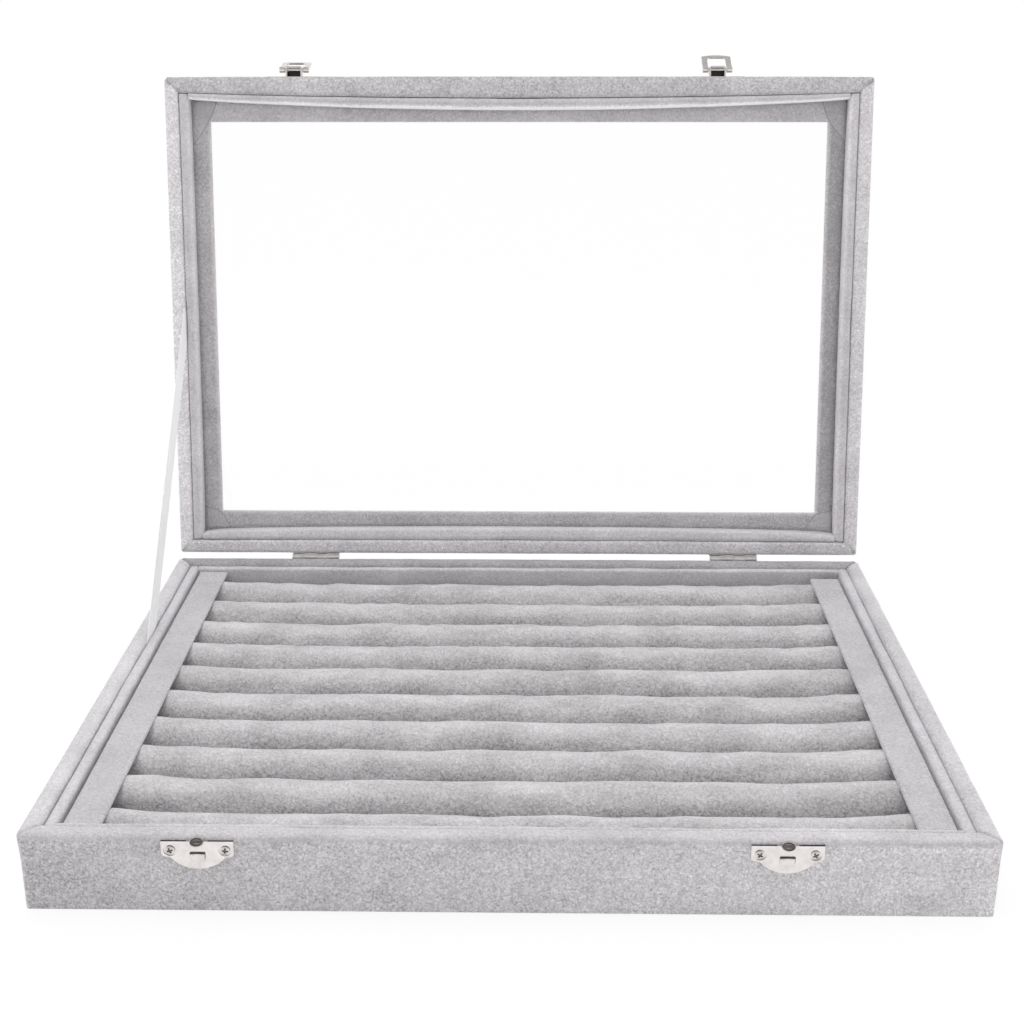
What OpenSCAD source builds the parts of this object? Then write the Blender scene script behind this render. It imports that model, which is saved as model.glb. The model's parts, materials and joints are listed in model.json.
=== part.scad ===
// Ring display box, shown open.
// A shallow velvet-covered timber case with a glazed lid. The base holds an insert
// of ten foam ring rolls. Two butt hinges join the lid to the base, a ribbon on the
// left stops it leaning back too far, and two hasps on the lid close over hooked
// lugs on the base. Origin: centre of the underside; +Y is the hinge side, +Z up.
// Lid pieces are drawn closed, above the base, and then swung open about the pins.

/* [Box] */
// Width of the box, left to right
box_w = 350; // [300:1:420]
// Depth of the box, front to back
box_d = 240; // [210:1:300]
// Height of the base, up to its rim
base_h = 32; // [30:0.5:45]
// Height of the lid, from its rim to its top
lid_h = 12.6; // [12.6:0.2:18]
// Gap between the two rims when the lid is closed
parting_gap = 0.4; // [0.3:0.1:0.6]
// Angle by which the lid stands open
lid_open = 100; // [92:1:110]
// Radius of the upright corners
corner_r = 2; // [1:0.1:2.4]

/* [Timber and velvet] */
// Thickness of the timber walls
timber_t = 5; // [4:0.5:6]
// Thickness of the floor board
floor_t = 3; // [2:0.5:4]
// Thickness of the velvet
skin_t = 0.8; // [0.6:0.1:1]
// Rounding of the covered rims
rim_r = 1.6; // [0.8:0.1:1.8]
// How far the velvet is tucked down inside the base
tuck_h = 14; // [8:1:20]
// Width of velvet turned under the floor
return_w = 12; // [8:1:20]

/* [Liner strips] */
// Thickness of the liner strips on the left and right
side_liner_t = 4.2; // [3:0.1:6]
// Thickness of the liner strips at the front and back
end_liner_t = 2.6; // [2:0.1:4]
// Groove between a liner strip and its wall
groove_w = 0.4; // [0.4:0.05:0.8]
// Depth of the base's liner strips below the rim
base_liner_drop = 2.8; // [1:0.1:5]
// Depth of the lid's liner strips inside its rim
lid_liner_drop = 0.4; // [0.2:0.1:2]
// Rounding of the liner strips' edges
liner_r = 1; // [0.4:0.1:1.2]

/* [Ring insert] */
// Number of ring rolls
roll_count = 10; // [6:1:12]
// Height of a roll above the insert board
roll_h = 21.7; // [17:0.1:24]
// Gap between two rolls
roll_gap = 0.3; // [0.2:0.05:0.6]
// How far a roll's ends sink below its crest
roll_end_drop = 2.4; // [0:0.1:4]
// Length of a roll's drawn-in ends
roll_end_run = 6; // [3:0.1:12]
// Thickness of the insert board
board_t = 2; // [1.5:0.1:3]
// Clearance round the insert
insert_gap = 0.25; // [0.2:0.05:0.5]
// Width of the insert's flat side strips
rail_w = 14.3; // [10:0.1:20]
// Height of the side strips above the insert board
rail_h = 23.2; // [19:0.1:25]
// Gap between a side strip and the liner
rail_gap = 1.3; // [0.5:0.1:3]
// How much shorter the right side strip is, at the back
right_rail_short = 5; // [0:0.5:10]

/* [Lid window] */
// Width of the covered border round the window
window_border = 20.3; // [18:0.1:28]
// Thickness of the window frame board
frame_t = 1.6; // [1.2:0.1:2]
// Thickness of the velvet folded under the window frame
backing_t = 0.4; // [0.3:0.05:0.6]
// Width of the velvet folded under the window frame
backing_w = 7; // [4:0.5:9]
// Velvet web across each window corner
corner_web = 3; // [1:0.5:6]
// Thickness of the glass
glass_t = 2; // [1.5:0.1:2.4]
// Clearance round the glass
glass_gap = 0.2; // [0.1:0.05:0.5]

/* [Hinges] */
// Width of a hinge
hinge_w = 24.3; // [20:0.1:32]
// Height of a hinge leaf
leaf_h = 8.4; // [7.5:0.1:9]
// Thickness of a hinge leaf
leaf_t = 0.8; // [0.6:0.1:0.9]
// Number of knuckles
knuckle_count = 4; // [4:2:6]
// Radius of a knuckle
knuckle_r = 1.5; // [1.4:0.05:1.6]
// Radius of a hinge pin
hinge_pin_r = 0.75; // [0.6:0.05:0.8]
// Distance of the pins behind the box's back
pin_stand = 1.75; // [1.7:0.05:2]
// Distance from the left side to the left hinge's middle
hinge_left_in = 70.5; // [40:0.5:110]
// Distance from the right side to the right hinge's middle
hinge_right_in = 63.6; // [40:0.1:110]

/* [Catches and latch plates] */
// Width of a plate
plate_w = 26; // [24:0.1:30]
// Height of a plate
plate_h = 11.4; // [10.5:0.1:11.6]
// Height of a plate's ears
ear_h = 6.4; // [6:0.1:7]
// Thickness of a plate
plate_t = 1.1; // [0.9:0.1:1.3]
// Distance of a catch's top edge below the base's rim
catch_drop = 1.7; // [1.6:0.1:3]
// Distance from the left side to the left catch's middle
catch_left_in = 64.7; // [40:0.1:110]
// Distance from the right side to the right catch's middle
catch_right_in = 75.8; // [40:0.1:110]
// Width of the hooked lug
lug_w = 5.2; // [4.4:0.1:5.4]
// How far the lug stands out of the base
lug_out = 2.9; // [2.6:0.1:3.2]
// Height of the lug above its plate's top edge
lug_rise = 1.5; // [0.5:0.1:1.6]
// Distance of the lug's underside below the plate's top edge
lip_drop = 1.8; // [1.4:0.1:2.2]

/* [Hasps] */
// Width of a hasp
hasp_w = 14.4; // [14:0.1:15]
// Width of the slot in a hasp
slot_w = 9; // [8.9:0.1:9.4]
// Thickness of a hasp
hasp_t = 0.8; // [0.6:0.1:1]
// Width of the bar at a hasp's tip
bar_w = 2.1; // [1.6:0.1:2.6]
// Distance of a hasp's pin out of the lid's front
pivot_out = 4.7; // [4.4:0.1:5.2]
// Distance of a hasp's pin above the lid's rim
pivot_up = 5; // [4.5:0.1:5.5]
// Radius of a hasp's pin
hasp_pin_r = 0.75; // [0.6:0.05:0.8]
// Width of the bridge that carries the pin
bridge_w = 8.2; // [7.8:0.1:8.4]
// Angle of the left hasp, swung up from straight down
left_swing = 157; // [100:1:190]
// Angle of the right hasp, swung up from straight down
right_swing = 139; // [100:1:190]
// How far the lid's latches sit to the left of the catches
latch_shift = 0.8; // [0:0.1:0.9]

/* [Stay ribbon] */
// Width of the ribbon
ribbon_w = 12; // [8:0.5:14]
// Thickness of the ribbon
ribbon_t = 0.25; // [0.15:0.05:0.3]
// Distance from the box's middle back to where the ribbon leaves the base
ribbon_base_back = 36; // [20:1:50]
// Length of ribbon tucked into each groove
ribbon_tuck = 5; // [3:0.5:6]

/* [Screws] */
// Radius of a screw head
head_r = 1.7; // [1.5:0.05:2]
// Radius of a screw's shank
shank_r = 0.9; // [0.7:0.05:1]
// How deep a screw goes into the wall
screw_depth = 4; // [3:0.1:4.5]
// Clearance of turning pins and of screws in their holes
play = 0.05; // [0.03:0.01:0.08]

/* [Hidden] */
$fn = 48;

velvet_grey = "#b9b5b7";
roll_grey = "#c4c0c2";
timber_tan = "#c9b48c";
nickel = "#d8d8da";
satin_white = "#f2f1ef";

// A small overlap between two shapes of one piece
bite = 0.2;
// A cutting shape's reach past what it cuts
past = 1;

// Walls
wall_t = timber_t + 2 * skin_t;
half_w = box_w / 2;
half_d = box_d / 2;
floor_top = skin_t + floor_t;
lid_rim = base_h + parting_gap;
lid_top = lid_rim + lid_h;

// Liner strips: the gap at their ends, the base's height and the lid's, and the
// inside faces
liner_end_gap = 0.1;
base_liner_h = base_h - base_liner_drop - floor_top;
liner_in_x = half_w - wall_t - groove_w - side_liner_t;
liner_in_y = half_d - wall_t - groove_w - end_liner_t;

// Lid layers, measured up from the lid's rim
border_h = skin_t + frame_t + backing_t;
glass_top = lid_h - border_h;
glass_low = glass_top - glass_t;
lid_liner_h = glass_low - lid_liner_drop;

// Hinge pin's place, and knuckles
pin_y = half_d + pin_stand;
pin_z = base_h + parting_gap / 2;
knuckle_w = hinge_w / knuckle_count;
hinge_left_x = -half_w + hinge_left_in;
hinge_right_x = half_w - hinge_right_in;
knuckle_side_gap = 0.1;
knuckle_clear = 0.15;
hinge_screw_x = hinge_w * 0.29;

// Insert
board_top = floor_top + board_t;
rail_in_x = liner_in_x - rail_gap - rail_w;
roll_len = 2 * (rail_in_x - roll_gap);
roll_pitch = 2 * (liner_in_y - insert_gap) / roll_count;
roll_half_w = (roll_pitch - roll_gap) / 2;
strip_edge_r = 1.4;
// A roll's crown springs at this share of its height, and its foot has this share
// of its width. A station is a place from the roll's end, how much of the end's
// drop its crest has, and its share of the width
roll_spring = 0.5;
roll_foot = 0.93;
roll_stations = [
    [0, 1, 0.86], [0.13 * roll_end_run, 0.55, 0.93], [0.4 * roll_end_run, 0.16, 0.98],
    [roll_end_run, 0, 1]
];
roll_crown_points = 12;

// Plate outline: ears, bowl and the hollow shoulders between them
bowl_in = 3;
bowl_half = plate_w / 2 - bowl_in;
bowl_sag = plate_h - ear_h;
bowl_r = (bowl_half * bowl_half + bowl_sag * bowl_sag) / (2 * bowl_sag);
bowl_z = bowl_r - plate_h;
shoulder_r = 2;
shoulder_z = -ear_h - shoulder_r;
shoulder_x = sqrt(pow(bowl_r + shoulder_r, 2) - pow(bowl_z - shoulder_z, 2));
ear_corner_r = 1.5;
dish_edge = 0.6;
dish_r = head_r + dish_edge;
dish_depth = 0.45;
plate_screw_in = 3.15;
plate_screw_x = plate_w / 2 - plate_screw_in;
plate_screw_drop = ear_h * 0.6;

catch_top = base_h - catch_drop;
lip_z = catch_top - lip_drop;
catch_left_x = -half_w + catch_left_in;
catch_right_x = half_w - catch_right_in;
latch_left_x = catch_left_x - latch_shift;
latch_right_x = catch_right_x - latch_shift;
latch_plate_up = 0.6;

// Hasp: its reach brings the tip bar under the lug's lip, and its closed angle
// brings the tip against the catch plate
pivot_z = lid_rim + pivot_up;
bar_clear = 0.25;
bar_in = pivot_out - plate_t - bar_clear - hasp_t / 2;
bar_drop = pivot_z - lip_z + bar_clear;
slot_len = sqrt(bar_drop * bar_drop + pow(bar_in * bar_drop / (bar_drop + bar_w), 2));
hasp_len = slot_len + bar_w;
closed_swing = -asin(bar_in / hasp_len);
eye_wall = 0.75;
eye_r = hasp_pin_r + eye_wall;
slot_corner_r = 1.8;
tip_bulge = 1.1;
bridge_t = 0.8;
bridge_len = 3.2;
bridge_clear = 0.15;
bridge_out = pivot_out + hasp_pin_r + bridge_clear + bridge_t;

// Ribbon: from the left groove of the base to that of the lid
ribbon_x = -(half_w - wall_t - groove_w / 2);
ribbon_from = [ribbon_base_back, base_h - base_liner_drop];
ribbon_to = opened(0, lid_rim);
ribbon_dir = (ribbon_to - ribbon_from) / norm(ribbon_to - ribbon_from);

// Where a point of the closed lid, given by y and z, stands when the lid is open
function opened(y, z) = [
    pin_y + (y - pin_y) * cos(lid_open) + (z - pin_z) * sin(lid_open),
    pin_z - (y - pin_y) * sin(lid_open) + (z - pin_z) * cos(lid_open)
];

// ---- Shared shapes ----

// Swings the closed lid's pieces open about the hinge pins
module open_lid() {
    translate([0, pin_y, pin_z])
        rotate([-lid_open, 0, 0])
            translate([0, -pin_y, -pin_z])
                children();
}

// A box given by its lowest corner and its highest corner
module block(low, high) {
    translate(low)
        cube(high - low);
}

// An upright block centred on the origin, with round upright corners
module rounded_block(w, d, z0, z1, r) {
    for (cut = [[w, d - 2 * r], [w - 2 * r, d]])
        block([-cut[0] / 2, -cut[1] / 2, z0], [cut[0] / 2, cut[1] / 2, z1]);
    for (x = [-1, 1], y = [-1, 1])
        translate([x * (w / 2 - r), y * (d / 2 - r), z0])
            cylinder(h = z1 - z0, r = r);
}

// Profile of a strip or wall w wide and h high, whose two top edges are rounded
module rounded_top(w, h, r) {
    square([w, h - r]);
    translate([r, 0])
        square([w - 2 * r, h]);
    for (x = [r, w - r])
        translate([x, h - r])
            circle(r = r);
}

// Plan of one mitred side: 0 front, 1 right, 2 back, 3 left. u0 and u1 are its
// outer and inner faces, measured in from the box's outer faces
module mitred_plan(side, u0, u1) {
    along = side % 2 == 0 ? half_w : half_d;
    across = side % 2 == 0 ? half_d : half_w;
    rotate(90 * side)
        polygon([
            [-along + u0, -across + u0], [along - u0, -across + u0],
            [along - u1, -across + u1], [-along + u1, -across + u1]
        ]);
}

// Carries a profile round the four sides with mitred corners. The profile's x is
// the distance in from the outer face, and its y is the height
module around_box(band) {
    for (side = [0:3])
        intersection() {
            translate([0, 0, -past])
                linear_extrude(base_h + lid_top)
                    mitred_plan(side, 0, band);
            along = side % 2 == 0 ? half_w : half_d;
            across = side % 2 == 0 ? half_d : half_w;
            rotate(90 * side)
                translate([-along, -across, 0])
                    rotate([90, 0, 90])
                        linear_extrude(2 * along)
                            children();
        }
}

// A straight mitred timber wall
module timber_wall(side, z0, z1) {
    translate([0, 0, z0])
        linear_extrude(z1 - z0)
            mitred_plan(side, skin_t, skin_t + timber_t);
}

// Repeats a piece's hardware at a plate's two screws
module at_plate_screws() {
    for (x = [-plate_screw_x, plate_screw_x])
        translate([x, 0, 0])
            children();
}

// A round hole or shank along Y, from y0 to y1
module bar_y(r, y0, y1) {
    translate([0, y1, 0])
        rotate([90, 0, 0])
            cylinder(h = y1 - y0, r = r);
}

// A round bar along X, centred on the origin
module bar_x(r, len) {
    rotate([0, 90, 0])
        cylinder(h = len, r = r, center = true);
}

// ---- Base ----

module base_floor() {
    color(timber_tan)
        block([-half_w + skin_t + timber_t, -half_d + skin_t + timber_t, skin_t],
              [half_w - skin_t - timber_t, half_d - skin_t - timber_t, floor_top]);
}

module base_underlay() {
    edge = return_w + insert_gap;
    color(velvet_grey)
        block([-half_w + edge, -half_d + edge, 0], [half_w - edge, half_d - edge, skin_t]);
}

// Screw holes of both catches, and of both hinges' base leaves
module catch_holes() {
    for (x = [catch_left_x, catch_right_x])
        translate([x, -half_d, catch_top - plate_screw_drop])
            at_plate_screws()
                bar_y(shank_r + play, -past, screw_depth + play);
}

module base_hinge_holes() {
    for (x = [hinge_left_x, hinge_right_x], side = [-1, 1])
        translate([x + side * hinge_screw_x, half_d, leaf_screw_z(-1)])
            bar_y(shank_r + play, -screw_depth - play, past);
}

module base_wall(side) {
    color(timber_tan)
        difference() {
            timber_wall(side, skin_t, base_h - skin_t);
            catch_holes();
            base_hinge_holes();
        }
}

// Velvet round the base: out of sight under the floor, up the outside, over the
// rim and down inside as far as the tuck
module base_cover() {
    color(velvet_grey)
        difference() {
            intersection() {
                around_box(return_w)
                    difference() {
                        union() {
                            rounded_top(wall_t, base_h, rim_r);
                            square([return_w, skin_t]);
                        }
                        translate([skin_t, skin_t])
                            square([timber_t, base_h - 2 * skin_t]);
                        translate([skin_t, skin_t])
                            square([return_w, base_h - tuck_h - skin_t]);
                    }
                rounded_block(box_w, box_d, -past, base_h + past, corner_r);
            }
            catch_holes();
            base_hinge_holes();
        }
}

// Liner strips run the whole length on the left and right, and fit between
// those at the front and back
module side_liner(side, h) {
    len = 2 * (half_d - wall_t - groove_w);
    translate([side * (half_w - wall_t - groove_w - side_liner_t / 2) - side_liner_t / 2,
               len / 2, 0])
        rotate([90, 0, 0])
            linear_extrude(len)
                rounded_top(side_liner_t, h, liner_r);
}

module end_liner(side, h) {
    len = 2 * (liner_in_x - liner_end_gap);
    translate([-len / 2,
               side * (half_d - wall_t - groove_w - end_liner_t / 2) - end_liner_t / 2, 0])
        rotate([90, 0, 90])
            linear_extrude(len)
                rounded_top(end_liner_t, h, liner_r);
}

module base_side_liner(side) {
    color(velvet_grey)
        translate([0, 0, floor_top])
            side_liner(side, base_liner_h);
}

module base_end_liner(side) {
    color(velvet_grey)
        translate([0, 0, floor_top])
            end_liner(side, base_liner_h);
}

// ---- Ring insert ----

module insert_board() {
    x = liner_in_x - insert_gap;
    y = liner_in_y - insert_gap;
    color(timber_tan)
        block([-x, -y, floor_top], [x, y, board_top]);
}

module insert_strip(side, short) {
    y = liner_in_y - insert_gap;
    color(roll_grey)
        translate([side * (rail_in_x + rail_w / 2) - rail_w / 2, y - short, board_top])
            rotate([90, 0, 0])
                linear_extrude(2 * y - short)
                    rounded_top(rail_w, rail_h, strip_edge_r);
}

// A ring roll: a foam bar with a round crown, narrower at its foot. Its velvet is
// drawn in and down at the two ends
function roll_ring(x, h, w) = concat(
    [[x, -w * roll_foot, 0]],
    [for (i = [0:roll_crown_points])
        let (a = 180 - 180 * i / roll_crown_points)
        [x, w * cos(a), h * roll_spring + (h - h * roll_spring) * sin(a)]],
    [[x, w * roll_foot, 0]]
);

module roll() {
    ends = len(roll_stations);
    rings = [for (k = [0:2 * ends - 1])
        let (first = k < ends,
             s = roll_stations[first ? k : 2 * ends - 1 - k],
             x = (first ? -1 : 1) * (roll_len / 2 - s[0]))
        roll_ring(x, roll_h - roll_end_drop * s[1], roll_half_w * s[2])];
    n = roll_crown_points + 3;
    last = len(rings) - 1;
    polyhedron(
        points = [for (ring = rings, p = ring) p],
        faces = concat(
            [for (k = [0:last - 1], i = [0:n - 1], half = [0, 1])
                let (a = k * n + i, b = k * n + (i + 1) % n)
                half == 0 ? [a, b, b + n] : [a, b + n, a + n]],
            [for (i = [1:n - 2]) [0, i + 1, i]],
            [for (i = [1:n - 2]) [last * n, last * n + i, last * n + i + 1]]
        )
    );
}

module ring_roll(k) {
    color(roll_grey)
        translate([0, (roll_count - 1) / 2 * roll_pitch - (k - 1) * roll_pitch, board_top])
            roll();
}

// ---- Catches on the base ----

// Points of an arc, in equal steps
function arc(centre, r, from, to, steps) =
    [for (i = [0:steps])
        let (a = from + (to - from) * i / steps)
        centre + r * [cos(a), sin(a)]];

// Outline of a plate, hanging from its straight top edge at y = 0
module plate_outline() {
    lean = atan2(bowl_z - shoulder_z, shoulder_x);
    corner_x = plate_w / 2 - ear_corner_r;
    corner_z = -ear_h + ear_corner_r;
    polygon(concat(
        [[plate_w / 2, 0], [-plate_w / 2, 0]],
        arc([-corner_x, corner_z], ear_corner_r, 180, 270, 5),
        arc([-shoulder_x, shoulder_z], shoulder_r, 90, lean, 5),
        arc([0, bowl_z], bowl_r, 180 + lean, 360 - lean, 24),
        arc([shoulder_x, shoulder_z], shoulder_r, 180 - lean, 90, 5),
        arc([corner_x, corner_z], ear_corner_r, -90, 0, 5)
    ));
}

// A pressed plate with dished screw holes, its back on the XZ plane and its front
// towards -Y
module pressed_plate() {
    difference() {
        rotate([90, 0, 0])
            linear_extrude(plate_t)
                plate_outline();
        translate([0, 0, -plate_screw_drop])
            at_plate_screws() {
                bar_y(shank_r + play, -plate_t - past, past);
                bar_y(dish_r, -plate_t - past, -plate_t + dish_depth);
            }
    }
}

// The lug: a domed hook that stands out of the plate, and overhangs the tip bar
// of the closed hasp. Seen from above its front corners are round
module lug() {
    foot_in = 0.1;
    lip_edge = 0.6;
    dome_steps = 8;
    dome_h = lug_rise + lip_drop - lip_edge;
    nose_r = 1.8;
    intersection() {
        translate([-lug_w / 2, 0, 0])
            rotate([90, 0, 90])
                linear_extrude(lug_w)
                    polygon(concat(
                        [[-foot_in, -lip_drop], [-lug_out, -lip_drop]],
                        [for (i = [0:dome_steps])
                            let (a = 90 * i / dome_steps)
                            [-foot_in - (lug_out - foot_in) * cos(a),
                             -lip_drop + lip_edge + dome_h * sin(a)]]
                    ));
        translate([0, 0, -plate_h])
            linear_extrude(2 * plate_h) {
                translate([-lug_w / 2, -lug_out + nose_r])
                    square([lug_w, lug_out - nose_r]);
                translate([-lug_w / 2 + nose_r, -lug_out])
                    square([lug_w - 2 * nose_r, lug_out]);
                for (x = [-1, 1])
                    translate([x * (lug_w / 2 - nose_r), -lug_out + nose_r])
                        circle(r = nose_r);
            }
    }
}

// The pressed channel below the lug, which fades out down the plate
module channel() {
    top = -lip_drop - bar_w - 2 * bar_clear;
    rise = 0.7;
    round_r = lug_w / 2 + 0.3;
    low = -plate_h + 2.2;
    intersection() {
        rotate([90, 0, 0])
            linear_extrude(plate_t + rise + past) {
                translate([-round_r, low + round_r])
                    square([2 * round_r, top - low - round_r]);
                translate([0, low + round_r])
                    circle(r = round_r);
            }
        translate([-plate_w / 2, 0, 0])
            rotate([90, 0, 90])
                linear_extrude(plate_w)
                    polygon([
                        [-bite, top], [-plate_t - rise, top],
                        [-plate_t - rise, top - 0.8], [-plate_t + bite, low],
                        [-bite, low]
                    ]);
    }
}

module catch_plate(x) {
    color(nickel)
        translate([x, -half_d, catch_top]) {
            pressed_plate();
            lug();
            channel();
        }
}

// A screw along Y: its head sits in a dish at y = head_y, towards -Y
module plate_screw(head_y) {
    head_t = 0.55;
    bar_y(shank_r, head_y - bite, screw_depth);
    bar_y(head_r, head_y - head_t, head_y);
}

module plate_screws(z) {
    translate([0, -half_d, z])
        at_plate_screws()
            plate_screw(-plate_t + dish_depth);
}

module catch_screws() {
    color(nickel)
        for (x = [catch_left_x, catch_right_x])
            translate([x, 0, 0])
                plate_screws(catch_top - plate_screw_drop);
}

// ---- Hinges ----

// Height of a leaf's screws: half is -1 for the base's leaf and 1 for the lid's
function leaf_screw_z(half) = pin_z + half * leaf_h * 0.66;

// A hinge leaf with its own knuckles, and hollows round the other leaf's
module hinge_leaf(x, half) {
    parity = half < 0 ? 0 : 1;
    color(nickel)
        translate([x, 0, 0])
            difference() {
                union() {
                    block([-hinge_w / 2, half_d, min(pin_z, pin_z + half * leaf_h)],
                          [hinge_w / 2, half_d + leaf_t, max(pin_z, pin_z + half * leaf_h)]);
                    for (k = [parity:2:knuckle_count - 1])
                        translate([knuckle_x(k), pin_y, pin_z])
                            bar_x(knuckle_r, knuckle_w - 2 * knuckle_side_gap);
                }
                for (k = [1 - parity:2:knuckle_count - 1])
                    translate([knuckle_x(k), pin_y, pin_z])
                        bar_x(knuckle_r + knuckle_clear, knuckle_w + 2 * knuckle_side_gap);
                translate([0, pin_y, pin_z])
                    bar_x(hinge_pin_r + play, hinge_w + 2 * past);
                // the two leaves part along the knuckles' centre line
                for (k = [1 - parity:2:knuckle_count - 1])
                    block([knuckle_x(k) - knuckle_w / 2 - knuckle_side_gap, half_d - past,
                           pin_z - knuckle_r],
                          [knuckle_x(k) + knuckle_w / 2 + knuckle_side_gap, half_d + leaf_t + past,
                           pin_z + knuckle_r]);
                for (side = [-1, 1])
                    translate([side * hinge_screw_x, half_d, leaf_screw_z(half)])
                        bar_y(shank_r + play, -past, leaf_t + past);
            }
}

function knuckle_x(k) = -hinge_w / 2 + knuckle_w * (k + 0.5);

module hinge_pin(x) {
    color(nickel)
        translate([x, pin_y, pin_z])
            bar_x(hinge_pin_r, hinge_w);
}

module hinge_screws(half) {
    head_t = 0.6;
    color(nickel)
        for (x = [hinge_left_x, hinge_right_x], side = [-1, 1])
            translate([x + side * hinge_screw_x, half_d, leaf_screw_z(half)]) {
                bar_y(shank_r, -screw_depth, leaf_t + bite);
                bar_y(head_r, leaf_t, leaf_t + head_t);
            }
}

// ---- Lid, drawn closed ----

module latch_holes() {
    for (x = [latch_left_x, latch_right_x])
        translate([x, -half_d, lid_rim + latch_plate_up + plate_screw_drop])
            at_plate_screws()
                bar_y(shank_r + play, -past, screw_depth + play);
}

module lid_hinge_holes() {
    for (x = [hinge_left_x, hinge_right_x], side = [-1, 1])
        translate([x + side * hinge_screw_x, half_d, leaf_screw_z(1)])
            bar_y(shank_r + play, -screw_depth - play, past);
}

module lid_rail(side) {
    color(timber_tan)
        open_lid()
            difference() {
                timber_wall(side, lid_rim + skin_t, lid_top - skin_t - frame_t);
                latch_holes();
                lid_hinge_holes();
            }
}

module lid_window_frame() {
    z0 = lid_top - skin_t - frame_t;
    inner = window_border - skin_t;
    color(timber_tan)
        open_lid()
            difference() {
                block([-half_w + skin_t, -half_d + skin_t, z0],
                      [half_w - skin_t, half_d - skin_t, lid_top - skin_t]);
                block([-half_w + inner, -half_d + inner, z0 - past],
                      [half_w - inner, half_d - inner, lid_top + past]);
            }
}

// Profile of the lid's velvet: round the rail, over the top, round the window's
// edge and back under the window frame
module lid_cover_profile() {
    top_r = 2;
    edge_r = 0.7;
    difference() {
        union() {
            // over the rail, rounded at the rim and at the top's outer edge
            translate([0, wall_t])
                square([wall_t, lid_h - wall_t - top_r]);
            translate([0, wall_t])
                mirror([0, 1])
                    rounded_top(wall_t, wall_t, rim_r);
            translate([top_r, lid_h - border_h])
                square([wall_t - top_r, border_h]);
            translate([top_r, lid_h - top_r])
                circle(r = top_r);
            // over the window frame
            translate([top_r, lid_h - border_h])
                square([window_border - top_r - edge_r, border_h]);
            translate([top_r, lid_h - border_h])
                square([window_border - top_r, border_h - edge_r]);
            translate([window_border - edge_r, lid_h - edge_r])
                circle(r = edge_r);
        }
        translate([skin_t, skin_t])
            square([timber_t, lid_h - 2 * skin_t - frame_t]);
        translate([skin_t, lid_h - skin_t - frame_t])
            square([window_border - 2 * skin_t, frame_t]);
        // open between the rail's velvet and the strip folded under the frame
        translate([wall_t, -past])
            square([window_border - backing_w - wall_t, lid_h - border_h + backing_t + past]);
    }
}

module lid_cover() {
    window_x = half_w - window_border;
    window_y = half_d - window_border;
    color(velvet_grey)
        open_lid()
            difference() {
                union() {
                    intersection() {
                        translate([0, 0, lid_rim])
                            around_box(window_border)
                                lid_cover_profile();
                        rounded_block(box_w, box_d, lid_rim - past, lid_top + past, corner_r);
                    }
                    for (x = [-1, 1], y = [-1, 1])
                        translate([x * window_x, y * window_y, lid_top - border_h])
                            linear_extrude(border_h - skin_t)
                                polygon([
                                    [x * bite, y * bite], [-x * corner_web, y * bite],
                                    [x * bite, -y * corner_web]
                                ]);
                }
                latch_holes();
                lid_hinge_holes();
            }
}

module lid_glass() {
    x = half_w - wall_t - glass_gap;
    y = half_d - wall_t - glass_gap;
    color("#dfe8ea", 0.35)
        open_lid()
            block([-x, -y, lid_rim + glass_low], [x, y, lid_rim + glass_top]);
}

module lid_side_liner(side) {
    color(velvet_grey)
        open_lid()
            translate([0, 0, lid_rim + glass_low])
                mirror([0, 0, 1])
                    side_liner(side, lid_liner_h);
}

module lid_end_liner(side) {
    color(velvet_grey)
        open_lid()
            translate([0, 0, lid_rim + glass_low])
                mirror([0, 0, 1])
                    end_liner(side, lid_liner_h);
}

// The bridge that carries the hasp's pin, pressed out of the latch plate
module bridge() {
    corner = 1.2;
    ear = bridge_w / 2;
    difference() {
        translate([0, 0, -bridge_len / 2])
            linear_extrude(bridge_len)
                difference() {
                    union() {
                        translate([-ear, -bridge_out + corner])
                            square([bridge_w, bridge_out - corner - plate_t + bite]);
                        translate([-ear + corner, -bridge_out])
                            square([bridge_w - 2 * corner, bridge_out - plate_t + bite]);
                        for (x = [-1, 1])
                            translate([x * (ear - corner), -bridge_out + corner])
                                circle(r = corner);
                    }
                    translate([-ear + bridge_t, -bridge_out + bridge_t])
                        square([bridge_w - 2 * bridge_t, bridge_out]);
                }
        translate([0, -pivot_out, 0])
            bar_x(hasp_pin_r + play, bridge_w + 2 * past);
    }
}

module latch_plate(x) {
    color(nickel)
        open_lid()
            translate([x, -half_d, 0]) {
                translate([0, 0, lid_rim + latch_plate_up])
                    mirror([0, 0, 1])
                        pressed_plate();
                translate([0, 0, pivot_z])
                    bridge();
            }
}

module latch_screws() {
    color(nickel)
        open_lid()
            for (x = [latch_left_x, latch_right_x])
                translate([x, 0, 0])
                    plate_screws(lid_rim + latch_plate_up + plate_screw_drop);
}

module hasp_pin(x) {
    color(nickel)
        open_lid()
            translate([x, -half_d - pivot_out, pivot_z])
                bar_x(hasp_pin_r, hasp_w + 2 * play);
}

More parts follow.
